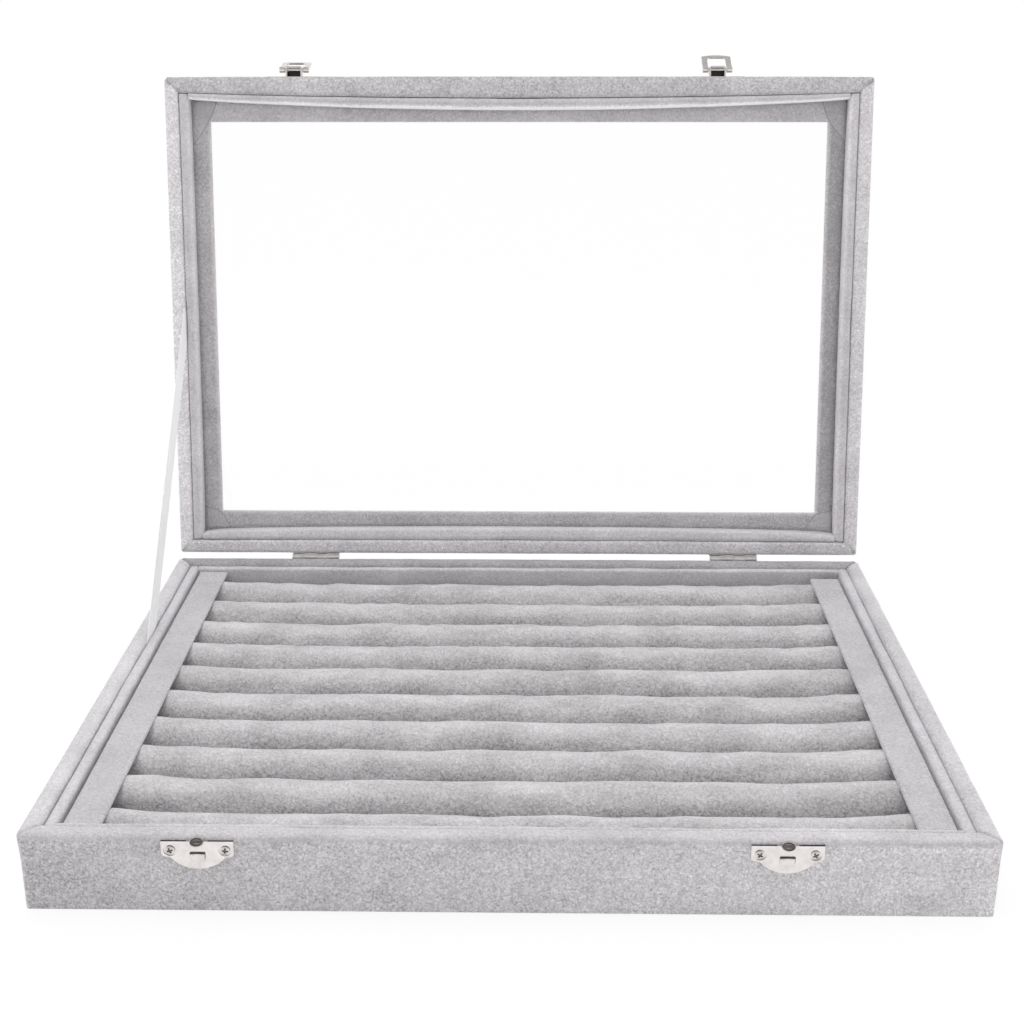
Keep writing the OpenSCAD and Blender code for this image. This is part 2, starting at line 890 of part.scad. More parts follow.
// A hasp hanging straight down from its pin: two eyes, two legs, and a tip bar
// with a curved end
module hasp_shape() {
    leg_w = (hasp_w - slot_w) / 2;
    tip_r = (hasp_w * hasp_w / 4 + tip_bulge * tip_bulge) / (2 * tip_bulge);
    difference() {
        union() {
            translate([0, hasp_t / 2, 0])
                rotate([90, 0, 0])
                    linear_extrude(hasp_t)
                        difference() {
                            intersection() {
                                translate([-hasp_w / 2, -hasp_len])
                                    square([hasp_w, hasp_len]);
                                translate([0, tip_r - hasp_len])
                                    circle(r = tip_r, $fn = 144);
                            }
                            translate([-slot_w / 2, -slot_len + slot_corner_r])
                                square([slot_w, slot_len + past]);
                            translate([-slot_w / 2 + slot_corner_r, -slot_len])
                                square([slot_w - 2 * slot_corner_r, slot_len]);
                            for (x = [-1, 1])
                                translate([x * (slot_w / 2 - slot_corner_r),
                                           -slot_len + slot_corner_r])
                                    circle(r = slot_corner_r);
                        }
            for (x = [-1, 1])
                translate([x * (slot_w + leg_w) / 2, 0, 0])
                    bar_x(eye_r, leg_w);
        }
        bar_x(hasp_pin_r + play, hasp_w + 2 * past);
    }
}

module hasp(x, swing) {
    color(nickel)
        open_lid()
            translate([x, -half_d - pivot_out, pivot_z])
                rotate([-swing, 0, 0])
                    hasp_shape();
}

// ---- Stay ribbon ----

module stay_ribbon() {
    side = [-ribbon_dir[1], ribbon_dir[0]] * ribbon_w / 2;
    a = ribbon_from - ribbon_dir * ribbon_tuck;
    b = ribbon_to + ribbon_dir * ribbon_tuck;
    color(satin_white)
        translate([ribbon_x - ribbon_t / 2, 0, 0])
            rotate([90, 0, 90])
                linear_extrude(ribbon_t)
                    polygon([a - side, b - side, b + side, a + side]);
}

base_floor();
base_underlay();
base_wall(0);  // base_front_wall
base_wall(1);  // base_right_wall
base_wall(2);  // base_back_wall
base_wall(3);  // base_left_wall
base_cover();
base_end_liner(-1);  // base_front_liner
base_side_liner(1);  // base_right_liner
base_end_liner(1);  // base_back_liner
base_side_liner(-1);  // base_left_liner
insert_board();
insert_strip(-1, 0);  // insert_left_strip
insert_strip(1, right_rail_short);  // insert_right_strip
ring_roll(1);  // ring_roll_01
ring_roll(2);  // ring_roll_02
ring_roll(3);  // ring_roll_03
ring_roll(4);  // ring_roll_04
ring_roll(5);  // ring_roll_05
ring_roll(6);  // ring_roll_06
ring_roll(7);  // ring_roll_07
ring_roll(8);  // ring_roll_08
ring_roll(9);  // ring_roll_09
ring_roll(10);  // ring_roll_10
catch_plate(catch_left_x);  // catch_left
catch_plate(catch_right_x);  // catch_right
catch_screws();
hinge_leaf(hinge_left_x, -1);  // hinge_left_base_leaf
hinge_leaf(hinge_right_x, -1);  // hinge_right_base_leaf
hinge_pin(hinge_left_x);  // hinge_left_pin
hinge_pin(hinge_right_x);  // hinge_right_pin
hinge_screws(-1);  // hinge_base_screws
lid_rail(0);  // lid_front_rail
lid_rail(1);  // lid_right_rail
lid_rail(2);  // lid_back_rail
lid_rail(3);  // lid_left_rail
lid_window_frame();
lid_cover();
lid_glass();
lid_end_liner(-1);  // lid_front_liner
lid_side_liner(1);  // lid_right_liner
lid_end_liner(1);  // lid_back_liner
lid_side_liner(-1);  // lid_left_liner
open_lid() hinge_leaf(hinge_left_x, 1);  // hinge_left_lid_leaf
open_lid() hinge_leaf(hinge_right_x, 1);  // hinge_right_lid_leaf
open_lid() hinge_screws(1);  // hinge_lid_screws
latch_plate(latch_left_x);  // latch_plate_left
latch_plate(latch_right_x);  // latch_plate_right
latch_screws();
hasp_pin(latch_left_x);  // hasp_pin_left
hasp_pin(latch_right_x);  // hasp_pin_right
hasp(latch_left_x, left_swing);  // hasp_left
hasp(latch_right_x, right_swing);  // hasp_right
stay_ribbon();
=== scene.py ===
"""Looks of the ring display box: velvet, foam rolls, glass, ribbon and nickel fittings,
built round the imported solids. Shapes are worked out in millimetres and written in metres.
Lid pieces are shaped as if the lid were shut and then swung open about its hinge."""
import json
import math

import bmesh
import bpy
import numpy as np
from mathutils import Matrix, Vector


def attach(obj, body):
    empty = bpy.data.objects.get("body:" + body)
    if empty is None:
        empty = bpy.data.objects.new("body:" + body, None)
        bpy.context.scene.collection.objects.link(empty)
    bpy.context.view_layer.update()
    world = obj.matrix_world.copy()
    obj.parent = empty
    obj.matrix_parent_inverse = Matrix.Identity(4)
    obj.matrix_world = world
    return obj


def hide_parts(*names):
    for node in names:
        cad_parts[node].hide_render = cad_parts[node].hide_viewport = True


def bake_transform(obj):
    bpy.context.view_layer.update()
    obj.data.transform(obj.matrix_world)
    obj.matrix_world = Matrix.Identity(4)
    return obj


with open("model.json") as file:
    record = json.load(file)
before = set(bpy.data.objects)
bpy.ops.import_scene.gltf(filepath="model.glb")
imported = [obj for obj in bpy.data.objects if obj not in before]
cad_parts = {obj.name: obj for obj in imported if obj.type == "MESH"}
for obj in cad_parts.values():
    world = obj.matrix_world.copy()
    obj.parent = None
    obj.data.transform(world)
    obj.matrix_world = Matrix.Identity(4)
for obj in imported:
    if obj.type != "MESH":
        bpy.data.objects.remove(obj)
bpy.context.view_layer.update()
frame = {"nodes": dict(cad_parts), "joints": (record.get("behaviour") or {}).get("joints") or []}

MM = 0.001

# ---------------------------------------------------------------- sizes from the frame

hinge = next(j for j in frame["joints"] if j["name"] == "lid_hinge")
PIN = np.array(hinge["pos_m"]) / MM
LID_OPEN = math.radians(hinge["range_deg"][1])


def node_points(node):
    """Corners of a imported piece, in millimetres."""
    mesh = frame["nodes"][node].data
    flat = np.empty(len(mesh.vertices) * 3, np.float32)
    mesh.vertices.foreach_get("co", flat)
    return flat.reshape(-1, 3).astype(float) / MM


def turned(points, angle):
    """Points turned by an angle about the lid's hinge pin, which runs along X."""
    y, z = points[..., 1] - PIN[1], points[..., 2] - PIN[2]
    c, s = math.cos(angle), math.sin(angle)
    return np.stack([points[..., 0], PIN[1] + y * c - z * s, PIN[2] + y * s + z * c], -1)


def opened(points):
    """Points of the shut lid, swung to where the open lid holds them."""
    return turned(points, -LID_OPEN)


def box_mm(node, lid=False):
    """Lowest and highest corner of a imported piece; a lid piece is measured shut."""
    points = node_points(node)
    if lid:
        points = turned(points, LID_OPEN)
    return points.min(0), points.max(0)


def middle_x(low, high):
    """Halfway across between two corners."""
    return (low[0] + high[0]) / 2


# Half the box's width and depth, and the heights of its rims and of the shut lid's top
HALF_W, HALF_D, RIM = box_mm("base_cover")[1]
LID_RIM, LID_TOP = (corner[2] for corner in box_mm("lid_cover", lid=True))
# Thickness of the cloth, and of a wall of timber covered on both sides
wall_low, wall_high = box_mm("base_left_wall")
SKIN = wall_low[0] + HALF_W
WALL = wall_high[0] - wall_low[0] + 2 * SKIN
# Upper face of the glass and underside of the window's board, in the shut lid
GLASS_TOP = box_mm("lid_glass", lid=True)[1][2]
BOARD_LOW = box_mm("lid_window_frame", lid=True)[0][2]
# The cover runs in under the floor this far, and this far down inside the rim
RETURN_W = box_mm("base_underlay")[0][0] + HALF_W - 0.3
RIM_TUCK = 14.0
# Height of the hasps' pins in the shut lid, and radius of the box's upright edges
PIVOT_Z = LID_RIM + 5.0
UPRIGHT_R = 1.3
# Window border, from the lid's outer face to the window's edge
BORDER = 20.3

# ---------------------------------------------------------------- meshes

def new_object(name, data):
    """An object at the origin, shown in the scene."""
    made = bpy.data.objects.new(name, data)
    bpy.context.scene.collection.objects.link(made)
    return made


def new_mesh(name, points, quads, caps=(), smooth_below=40):
    """A closed mesh from points in millimetres, an array of quads and end caps of any
    number of corners. Its faces are turned outwards by the sign of the volume
    sum(a . b x c) / 6."""
    a, b, c, d = (points[quads[:, k]] for k in range(4))
    volume = np.einsum("ij,ij->i", a, np.cross(b, c)).sum()
    volume += np.einsum("ij,ij->i", a, np.cross(c, d)).sum()
    for cap in caps:
        ring = points[cap]
        volume += np.einsum("j,ij->i", ring[0], np.cross(ring[1:-1], ring[2:])).sum()
    if volume < 0:
        quads = quads[:, ::-1]
        caps = [cap[::-1] for cap in caps]
    corners = np.concatenate([quads.ravel(), *caps]).astype(np.int32)
    cap_sizes = [len(cap) for cap in caps]
    sizes = np.concatenate([np.full(len(quads), 4), cap_sizes]).astype(np.int32)
    starts = np.concatenate([[0], np.cumsum(sizes)[:-1]]).astype(np.int32)
    mesh = bpy.data.meshes.new(name)
    mesh.vertices.add(len(points))
    mesh.vertices.foreach_set("co", (points * MM).astype(np.float32).ravel())
    mesh.loops.add(len(corners))
    mesh.loops.foreach_set("vertex_index", corners)
    mesh.polygons.add(len(sizes))
    mesh.polygons.foreach_set("loop_start", starts)
    mesh.update(calc_edges=True)
    mesh.validate()
    mesh.polygons.foreach_set("use_smooth", np.ones(len(mesh.polygons), bool))
    mesh.set_sharp_from_angle(angle=math.radians(smooth_below))
    return new_object(name, mesh)


def press(piece, amount, mark="pressed", domain="POINT"):
    """Stores a mark at each point, or each face. By default it is painted shade on velvet, from 0
    to 1, and painted light where it is less than 0. The other marks are flecks strengthened as the
    pile's painted shading, and painted shade and dark reflections on metal."""
    layer = piece.data.attributes.new(mark, "FLOAT", domain)
    layer.data.foreach_set("value", amount.astype(np.float32).ravel())
    return piece


def grid_quads(rows, columns, wrap_rows, wrap_columns, first=0):
    """Quads of a grid of points stored row by row, closed on itself where it wraps."""
    i = np.arange(rows if wrap_rows else rows - 1)[:, None]
    j = np.arange(columns if wrap_columns else columns - 1)[None, :]
    i2, j2 = (i + 1) % rows, (j + 1) % columns
    parts = (i * columns + j, i2 * columns + j, i2 * columns + j2, i * columns + j2)
    return np.stack([p.ravel() for p in parts], -1) + first


def rounded_outline(corners, step, arc_steps=6):
    """A closed outline through corners (x, y, radius): straight sides sampled every
    step, and each corner rounded by an arc tangent to its two sides."""
    corners = [np.array(c, float) for c in corners]
    out = []
    for k, corner in enumerate(corners):
        before, after = corners[k - 1][:2], corners[(k + 1) % len(corners)][:2]
        p, r = corner[:2], corner[2]
        u = (before - p) / np.linalg.norm(before - p)
        v = (after - p) / np.linalg.norm(after - p)
        half = math.acos(np.clip(u @ v, -1, 1)) / 2
        reach = r / math.tan(half)
        middle = p + (u + v) / np.linalg.norm(u + v) * (r / math.sin(half))
        first, last = p + u * reach - middle, p + v * reach - middle
        turn = math.atan2(first[0] * last[1] - first[1] * last[0], first @ last)
        a = turn * np.linspace(0, 1, arc_steps + 1)[:, None]
        side = np.array([-first[1], first[0]])
        out.append(middle + first * np.cos(a) + side * np.sin(a))
    filled = []
    for k, part in enumerate(out):
        filled.append(part)
        start, end = part[-1], out[(k + 1) % len(out)][0]
        count = int(np.linalg.norm(end - start) / step)
        if count:
            share = np.arange(1, count + 1)[:, None] / (count + 1)
            filled.append(start + (end - start) * share)
    return np.concatenate(filled)


WAVES = 9


def waves(points, length, seed):
    """Smooth unevenness of about unit size: the sum of WAVES cosine waves of about the
    given length, in directions and phases drawn from the seed, times sqrt(2 / WAVES)."""
    draw = np.random.default_rng(seed)
    direction = draw.normal(size=(WAVES, 3))
    direction /= np.linalg.norm(direction, axis=1)[:, None]
    pitch = 2 * math.pi / (length * draw.uniform(0.7, 1.5, WAVES))
    phase = draw.uniform(0, 2 * math.pi, WAVES)
    return np.cos(points @ (direction * pitch[:, None]).T + phase).sum(-1) * math.sqrt(2 / WAVES)


def stations(half):
    """Places along a side from -1 to 1: every 2.6, and closer together near both ends."""
    near = np.array([0, 0.25, 0.5, 0.8, 1.2, 1.7, 2.3, 3.1, 4.1, 5.4, 7.0, 9.0])
    inner = np.linspace(-(half - 11), half - 11, int(2 * (half - 11) / 2.6))
    return np.concatenate([-half + near, inner, (half - near)[::-1]]) / half


def quarter_turned(x, y, quarters):
    """x and y turned by a number of quarter turns."""
    angle = quarters * math.pi / 2
    c, s = round(math.cos(angle)), round(math.sin(angle))
    return x * c - y * s, x * s + y * c


def swept_round(profile):
    """The profile, in from the outer face and up, carried round the box's four sides.
    Sides are straight; at each upright edge a point at distance u in from the face
    follows an arc of radius UPRIGHT_R - u, and past that a mitre. Returns the points as
    rows of one profile each, and for each row its side, 0 front to 3 left, and its
    place along that side from -1 to 1."""
    u, z = profile[:, 0], profile[:, 1]
    turn = np.maximum(UPRIGHT_R - u, 0.12)
    rows, sides, along = [], [], []
    for side in range(4):
        length, away = (HALF_W, HALF_D) if side % 2 == 0 else (HALF_D, HALF_W)
        for s in stations(length):
            rows.append(np.stack([s * (length - u - turn), -away + u, z], -1))
            sides.append(side)
            along.append(s)
        for a in np.linspace(0, math.pi / 2, 7)[1:-1]:
            x = length - u - turn + turn * math.sin(a)
            y = -away + u + turn - turn * math.cos(a)
            rows.append(np.stack([x, y, z], -1))
            sides.append(side)
            along.append(1.0)
    points, sides, along = np.array(rows), np.array(sides), np.array(along)
    for side in range(1, 4):
        here = sides == side
        x, y = quarter_turned(points[here, :, 0], points[here, :, 1], side)
        points[here, :, 0], points[here, :, 1] = x, y
    return points, sides, along


def mitre_distance(points):
    """Distance, in plan, from the diagonal of the nearest corner."""
    reach = np.abs(points)
    return np.abs(reach[..., 0] - reach[..., 1] - (HALF_W - HALF_D)) / math.sqrt(2)


def mitre_fold(points, depth, width):
    """How deep the cloth's fold is at a point: exp(-(d / width)^2) of the depth at
    distance d from a corner's diagonal, less a low swelling on both sides of it."""
    off = mitre_distance(points)
    swelling = 0.45 * np.exp(-((off - 2.6 * width) / (1.6 * width)) ** 2)
    return depth * (np.exp(-(off / width) ** 2) - swelling)


def inward(points, sides):
    """Unit vectors from each row's outer face towards the middle of the box."""
    table = np.array([[0, 1, 0], [-1, 0, 0], [0, -1, 0], [1, 0, 0]], float)
    return np.broadcast_to(table[sides][:, None, :], points.shape)


def belly(along, fullness=0.8):
    """A sag of cos(pi s / 2) to the power of fullness at place s along a side: nothing
    at its ends and one in its middle."""
    return np.sin((along + 1) * math.pi / 2).clip(0) ** fullness


# ---------------------------------------------------------------- velvet covers

def base_velvet_cover():
    """Velvet round the base: a C-shaped skin profile, from under the floor, up the
    outside, over the rounded rim and down inside, carried round the four sides."""
    rim_r = 1.4
    low = RIM - RIM_TUCK
    profile = rounded_outline([
        (RETURN_W, 0, 0.05), (0, 0, 0.7), (0, RIM, rim_r), (WALL, RIM, 2.1), (WALL, low, 0.05),
        (WALL - SKIN, low, 0.05), (WALL - SKIN, RIM - SKIN, 1.3), (SKIN, RIM - SKIN, 0.4),
        (SKIN, SKIN, 0.1), (RETURN_W, SKIN, 0.05)], step=1.6)
    points, sides, along = swept_round(profile)
    crown = profile[:, 1] > RIM - rim_r - 0.5
    points[..., 2] -= crown * mitre_fold(points, 0.42, 0.55)
    # the cloth never lies quite flat on the timber, and is fuller at the rim
    face_in = 0.06 * np.abs(waves(points, 46, 11)) + 0.03 * np.abs(waves(points, 13, 12))
    face_in = face_in - 0.35 * np.clip((profile[:, 1] - RIM + 9) / 6, 0, 1)
    outer = (profile[:, 0] < 0.6) & (profile[:, 1] > 1.2)
    points += inward(points, sides) * (outer * face_in)[..., None]
    inner = (profile[:, 0] > WALL - 0.4) & (profile[:, 1] < RIM - 1)
    points += inward(points, sides) * (inner * (0.05 * waves(points, 30, 13)))[..., None]
    # the rim's own unevenness, and its rise in the middle of the back
    points[..., 2] -= crown * (0.07 * np.abs(waves(points, 38, 14)))
    points[..., 2] += crown * (0.35 * (sides == 2) * belly(along, 0.3))[:, None]
    piece = new_mesh("base_velvet_cover", points.reshape(-1, 3),
                     grid_quads(*points.shape[:2], True, True))
    # Painted shade in the fold at each corner of the rim, and over the rim's crown side by side,
    # most at the back; painted light on the outer front face, lighter to the right and darker to
    # the left
    crease = crown * np.exp(-(mitre_distance(points) / 0.5) ** 2)
    face = (profile[:, 0] < 0.6) & (profile[:, 1] < RIM - 1.5)
    flat = np.array([0.18, 0.1, 0.75, 0.0])[sides][:, None] * crown
    front_painted_light = (0.25 * points[..., 0] / HALF_W + 0.04) * (sides == 0)[:, None]
    press(piece, flat + 0.4 * crease - front_painted_light * face)
    # the outer faces' flecks are strengthened as painted shading of the pile
    return press(piece, np.broadcast_to(face, crease.shape), "painted_fleck_shading")


def lid_velvet_cover():
    """Velvet round the lid: a skin profile over the rail, across the border, round the
    window's edge and back under the frame. The inner edge along the front rail bulges
    towards the window, most in the middle."""
    rim_r = 1.7
    top = LID_TOP - LID_RIM
    under = GLASS_TOP - LID_RIM + 0.32
    board = BOARD_LOW - LID_RIM
    profile = rounded_outline([
        (WALL, under - 0.7, 0.05), (WALL, 0, rim_r), (0, 0, rim_r), (0, top, 2.0),
        (BORDER, top, 0.7), (BORDER, under, 0.5), (WALL + 0.5, under, 0.03),
        (WALL + 0.5, board, 0.03), (BORDER - SKIN, board, 0.1), (BORDER - SKIN, top - SKIN, 0.1),
        (SKIN, top - SKIN, 0.6), (SKIN, SKIN, 0.6), (WALL - SKIN, SKIN, 0.6),
        (WALL - SKIN, under - 0.7, 0.05)], step=1.6)
    points, sides, along = swept_round(profile)
    u, z = profile[:, 0], profile[:, 1]
    rim_side = z < rim_r + 0.5
    points[..., 2] += LID_RIM + rim_side * mitre_fold(points, 0.22, 0.7)
    full = np.where(sides == 0, 1.0 + 0.3 * belly(along), 0.15)[:, None]
    full = full * np.clip((5.5 - z) / 4, 0, 1)
    points -= inward(points, sides) * ((u < 0.6) * full)[..., None]
    points[..., 2] += rim_side * (0.1 * np.abs(waves(points, 38, 21)))
    bulge = (np.array([2.5, 0.3, 0.5, 0.3])[sides] * belly(along))[:, None]
    share = np.clip((u - 1.5) / (WALL - 1.5), 0, 1) * (z < under - 0.5) * (u < WALL + 0.2)
    points += inward(points, sides) * (bulge * share)[..., None]
    outer = (u < 0.4) & (z > 1.0)
    points += inward(points, sides) * (outer * (0.07 * np.abs(waves(points, 46, 22))))[..., None]
    under_side = (np.abs(z - under) < 0.2) & (u > WALL + 0.4) & (u < BORDER - 1)
    border_top = (z > top - 0.1) & (u > 2)
    points[..., 2] -= border_top * (0.08 * np.abs(waves(points, 40, 23)))
    points[..., 2] -= border_top * mitre_fold(points, 0.25, 0.4)
    piece = new_mesh("lid_velvet_cover", opened(points).reshape(-1, 3),
                     grid_quads(*points.shape[:2], True, True))
    # Painted shade on the border's underside, seen through the glass, side by side, and in the fold
    # at each corner of the rim; on the outer flanks painted shade or painted light, side by side
    crease = rim_side * (u < 3) * np.exp(-(mitre_distance(points) / 0.6) ** 2)
    flank = (z < top - 3) & (u < WALL + 0.2)
    border_painted_shade = np.array([0.03, 0.8, 0.45, 0.47])[sides][:, None]
    flank_painted_shading = np.array([0.2, -0.2, -0.1, -0.45])[sides][:, None]
    press(piece, border_painted_shade * under_side + 0.9 * crease + flank_painted_shading * flank)
    # flecks strengthened on the flanks and on the border's underside as painted shading of the pile
    return press(piece, np.broadcast_to(0.6 * flank + 0.4 * under_side, crease.shape), "painted_fleck_shading")


# Share of the radius and height above the glass of each line round a corner fold
FOLD_RINGS = ((0.02, 0.0), (0.92, 0.0), (0.96, 0.0), (1.0, 0.06), (1.0, 0.2), (0.96, 0.28),
              (0.92, 0.28), (0.02, 0.28))
# How far each fold reaches along the end liner and along the side liner, by the signs of
# its corner's x and y
FOLD_REACH = {(-1, -1): (13.0, 22.5), (1, -1): (12.7, 20.5), (-1, 1): (14.0, 13.2),
              (1, 1): (16.0, 12.0)}


def window_corner_folds():
    """Cloth folded under the frame at each window corner: a flat kite between the
    liners' corner and the window's. Its edges run from f, v along the liners to the
    window's corner at w, h: to r = f / (cos(a) + sin(a) (f - w) / h) and r = v / (sin(a)
    + cos(a) (v - h) / w) at angle a, and the tip is cut off."""
    side_in = HALF_W - np.abs(box_mm("lid_left_liner", True)[1][0]) + 0.2
    end_in = HALF_D - np.abs(box_mm("lid_front_liner", True)[1][1]) + 0.2
    low = GLASS_TOP + 0.02
    a = np.linspace(0, math.pi / 2, 41)
    sine, cosine = np.sin(a), np.cos(a)
    across, deep = BORDER - side_in, BORDER - end_in
    tip = 0.5 * np.exp(-((a - math.atan2(deep, across)) / 0.12) ** 2)
    all_points, all_quads = [], []
    for sx in (-1, 1):
        for sy in (-1, 1):
            f, v = FOLD_REACH[sx, sy]
            edge = np.minimum(f / (cosine + sine * (f - across) / deep),
                              v / (sine + cosine * (v - deep) / across)) - tip
            rings = []
            for share, z in FOLD_RINGS:
                r = edge - (1 - share) * (edge if share < 0.5 else 9)
                x = sx * (HALF_W - side_in - r * cosine)
                y = sy * (HALF_D - end_in - r * sine)
                rings.append(np.stack([x, y, np.full_like(x, low + z)], -1))
            first = sum(len(p) for p in all_points)
            quads = grid_quads(len(rings), len(a), True, False, first)
            all_points.append(np.concatenate(rings))
            all_quads.append(quads[:, ::-1] if sx * sy > 0 else quads)
    piece = new_mesh("window_corner_folds", opened(np.concatenate(all_points)),
                     np.concatenate(all_quads))
    # Painted shade: a dark line along each fold's edge, and a lighter shade over the rest of the
    # fold
    edge_dark = np.repeat([1.3 if share > 0.95 else 0.4 for share, _ in FOLD_RINGS], len(a))
    return press(piece, np.tile(edge_dark, 4))


# ---------------------------------------------------------------- liners, strips and rolls

def bar(profile, length):
    """A bar along X, centred: the profile in y and z every 2.2, drawn in by
    r (1 - sqrt(1 - (1 - d / r)^2)) at distance d from each end, with r = 0.8."""
    end_r = 0.8
    centre = profile.mean(0)
    near = end_r * np.array([0, 0.08, 0.3, 0.6, 1.0])
    inner = np.linspace(-length / 2 + 1.6, length / 2 - 1.6, int(length / 2.2))
    x = np.concatenate([-length / 2 + near, inner, (length / 2 - near)[::-1]])
    gap = np.clip((length / 2 - np.abs(x)) / end_r, 0, 1)
    inset = end_r * (1 - np.sqrt(1 - (1 - gap) ** 2))
    arm = profile - centre
    reach = np.linalg.norm(arm, axis=1)
    scale = np.clip(1 - inset[:, None] / np.maximum(reach, 0.1)[None, :], 0.2, 1)
    yz = centre + arm[None] * scale[..., None]
    return np.concatenate([np.broadcast_to(x[:, None, None], (len(x), len(profile), 1)), yz], -1)


def end_caps(count, columns, first=0):
    """The corners of the first and of the last of count rings, as the caps of a tube."""
    return [first + np.arange(columns)[::-1], first + (count - 1) * columns + np.arange(columns)]


def bar_mesh(name, rows):
    """Rows of points, one ring each, made a closed mesh with a flat cap at each end."""
    count, columns = rows.shape[:2]
    return new_mesh(name, rows.reshape(-1, 3), grid_quads(count, columns, False, True),
                    end_caps(count, columns))


def laid_along_y(rows):
    """A bar's points, a quarter turn round from X to Y."""
    return np.stack([-rows[..., 1], rows[..., 0], rows[..., 2]], -1)


def foot_middle(low, high):
    """The middle of the underside between two corners."""
    return np.array([middle_x(low, high), (low[1] + high[1]) / 2, low[2]])


SIDES = ("front", "right", "back", "left")
# How far the cloth of the base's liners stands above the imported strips
LINER_PROUD = 1.5
# Where the ribbon passes between cover and liner, along Y: in the base and in the shut lid
RIBBON_Y = (36, 0)


def base_liner(node, seed):
    """A velvet liner strip of the base: a padded strip with a full, rounded top."""
    low, high = box_mm(node)
    x_size, y_size, _ = high - low
    width, length = sorted((x_size, y_size))
    r = min(width * 0.46, 1.5)
    h = high[2] - low[2] + LINER_PROUD
    profile = rounded_outline([(-width / 2, 0, 0.2), (width / 2, 0, 0.2), (width / 2, h, r),
                               (-width / 2, h, r)], step=1.4)
    rows = bar(profile, length)
    top = np.clip((rows[..., 2] - h + 6) / 6, 0, 1)
    rows[..., 2] -= top * 0.16 * np.abs(waves(rows, 32, seed))
    beside_ribbon = np.abs(rows[..., 0] - RIBBON_Y[0]) > 12
    rows[..., 1] += top * np.sign(rows[..., 1]) * 0.16 * beside_ribbon
    rows[..., 1] += top * 0.10 * waves(rows, 44, seed + 1) * np.sign(rows[..., 1])
    if y_size > x_size:
        rows = laid_along_y(rows)
    return bar_mesh(node.replace("base_", "base_velvet_"), rows + foot_middle(low, high))


# How far each liner of the lid sags towards the window, at its outer and its inner edge,
# and how bright a highlight is painted along its inner edge; front, right, back and left as in
# SIDES
LID_SAG = ((2.6, 5.2), (0.3, 0.8), (0.3, 3.4), (0.3, 0.6))
LID_EDGE_HIGHLIGHT = (1.3, 0.5, 0.1, 0.4)


def lid_liner(side, seed):
    """A velvet liner strip of the lid, bellied towards the window by LID_SAG."""
    node = f"lid_{SIDES[side]}_liner"
    low, high = box_mm(node, lid=True)
    width, length = sorted((high - low)[:2])
    h = high[2] - low[2]
    inner_r = min(width * 0.62, 2.9)
    profile = rounded_outline([(0, 0, 0.9), (width, 0, inner_r), (width, h, 0.3), (0, h, 0.3)],
                              step=1.0)
    rows = bar(profile, length)
    share, depth = rows[..., 1] / width, rows[..., 2]
    outer_sag, inner_sag = LID_SAG[side]
    sag = belly(rows[..., 0] / (length / 2), 0.8 if side == 0 else 0.35)
    rows[..., 1] += sag * (outer_sag + (inner_sag - outer_sag) * share)
    soft = np.clip(1 - rows[..., 2] / 5, 0, 1)
    rows[..., 2] += soft * (0.14 * np.abs(waves(rows, 30, seed)) + 0.35 * sag * (share > 0.5))
    rows[..., 1] += soft * 0.12 * waves(rows, 40, seed + 1) * share
    beside_ribbon = np.abs(rows[..., 0] - RIBBON_Y[1]) > 12
    rows[..., 1] -= soft * (1 - share).clip(0, 1) * 0.2 * beside_ribbon
    # put the strip's outer face (profile x = 0) on its own side of the lid
    away = (-low[1], high[0], high[1], -low[0])[side]
    x, y = quarter_turned(rows[..., 0], rows[..., 1] - away, side)
    rows = np.stack([x, y, rows[..., 2] + low[2]], -1)
    # Painted highlight along the inner edge, where it turns down towards the window
    painted_highlight = -LID_EDGE_HIGHLIGHT[side] * np.clip(share * 3.4 - 2.0, 0, 1) * np.clip(1.6 - depth / 4, 0, 1)
    return press(bar_mesh(node.replace("lid_", "lid_velvet_"), opened(rows)), painted_highlight)


# The side strips lap over the rolls by this much, and touch them at this height
STRIP_LAP, LAP_Z = 5.4, 27.5


def insert_strip(node, seed):
    """A flat velvet-covered side strip of the insert, with soft edges. Its inner edge is
    undercut, and laps over the ends of the rolls."""
    low, high = box_mm(node)
    width, length, h = high - low
    lap = LAP_Z + 0.12 - low[2]
    profile = rounded_outline([(-width / 2, 0, 0.2), (width / 2 - STRIP_LAP, 0, 0.2),
                               (width / 2 - STRIP_LAP, lap, 0.05), (width / 2, lap, 0.25),
                               (width / 2, h, 0.8), (-width / 2, h, 0.9)], step=1.2)
    if low[0] < 0:
        profile = profile[::-1] * [-1, 1]
    rows = bar(profile, length)
    top = np.clip((rows[..., 2] - h + 4) / 4, 0, 1)
    dents = 0.12 * np.abs(waves(rows, 55, seed)) + 0.05 * np.abs(waves(rows, 14, seed + 1))
    rows[..., 2] -= top * dents
    rows[..., 1] -= np.sign(rows[..., 1]) * 0.07 * np.abs(waves(rows, 35, seed + 2))
    rows = laid_along_y(rows) + foot_middle(low, high)
    return bar_mesh(node.replace("insert_", "insert_velvet_"), rows)


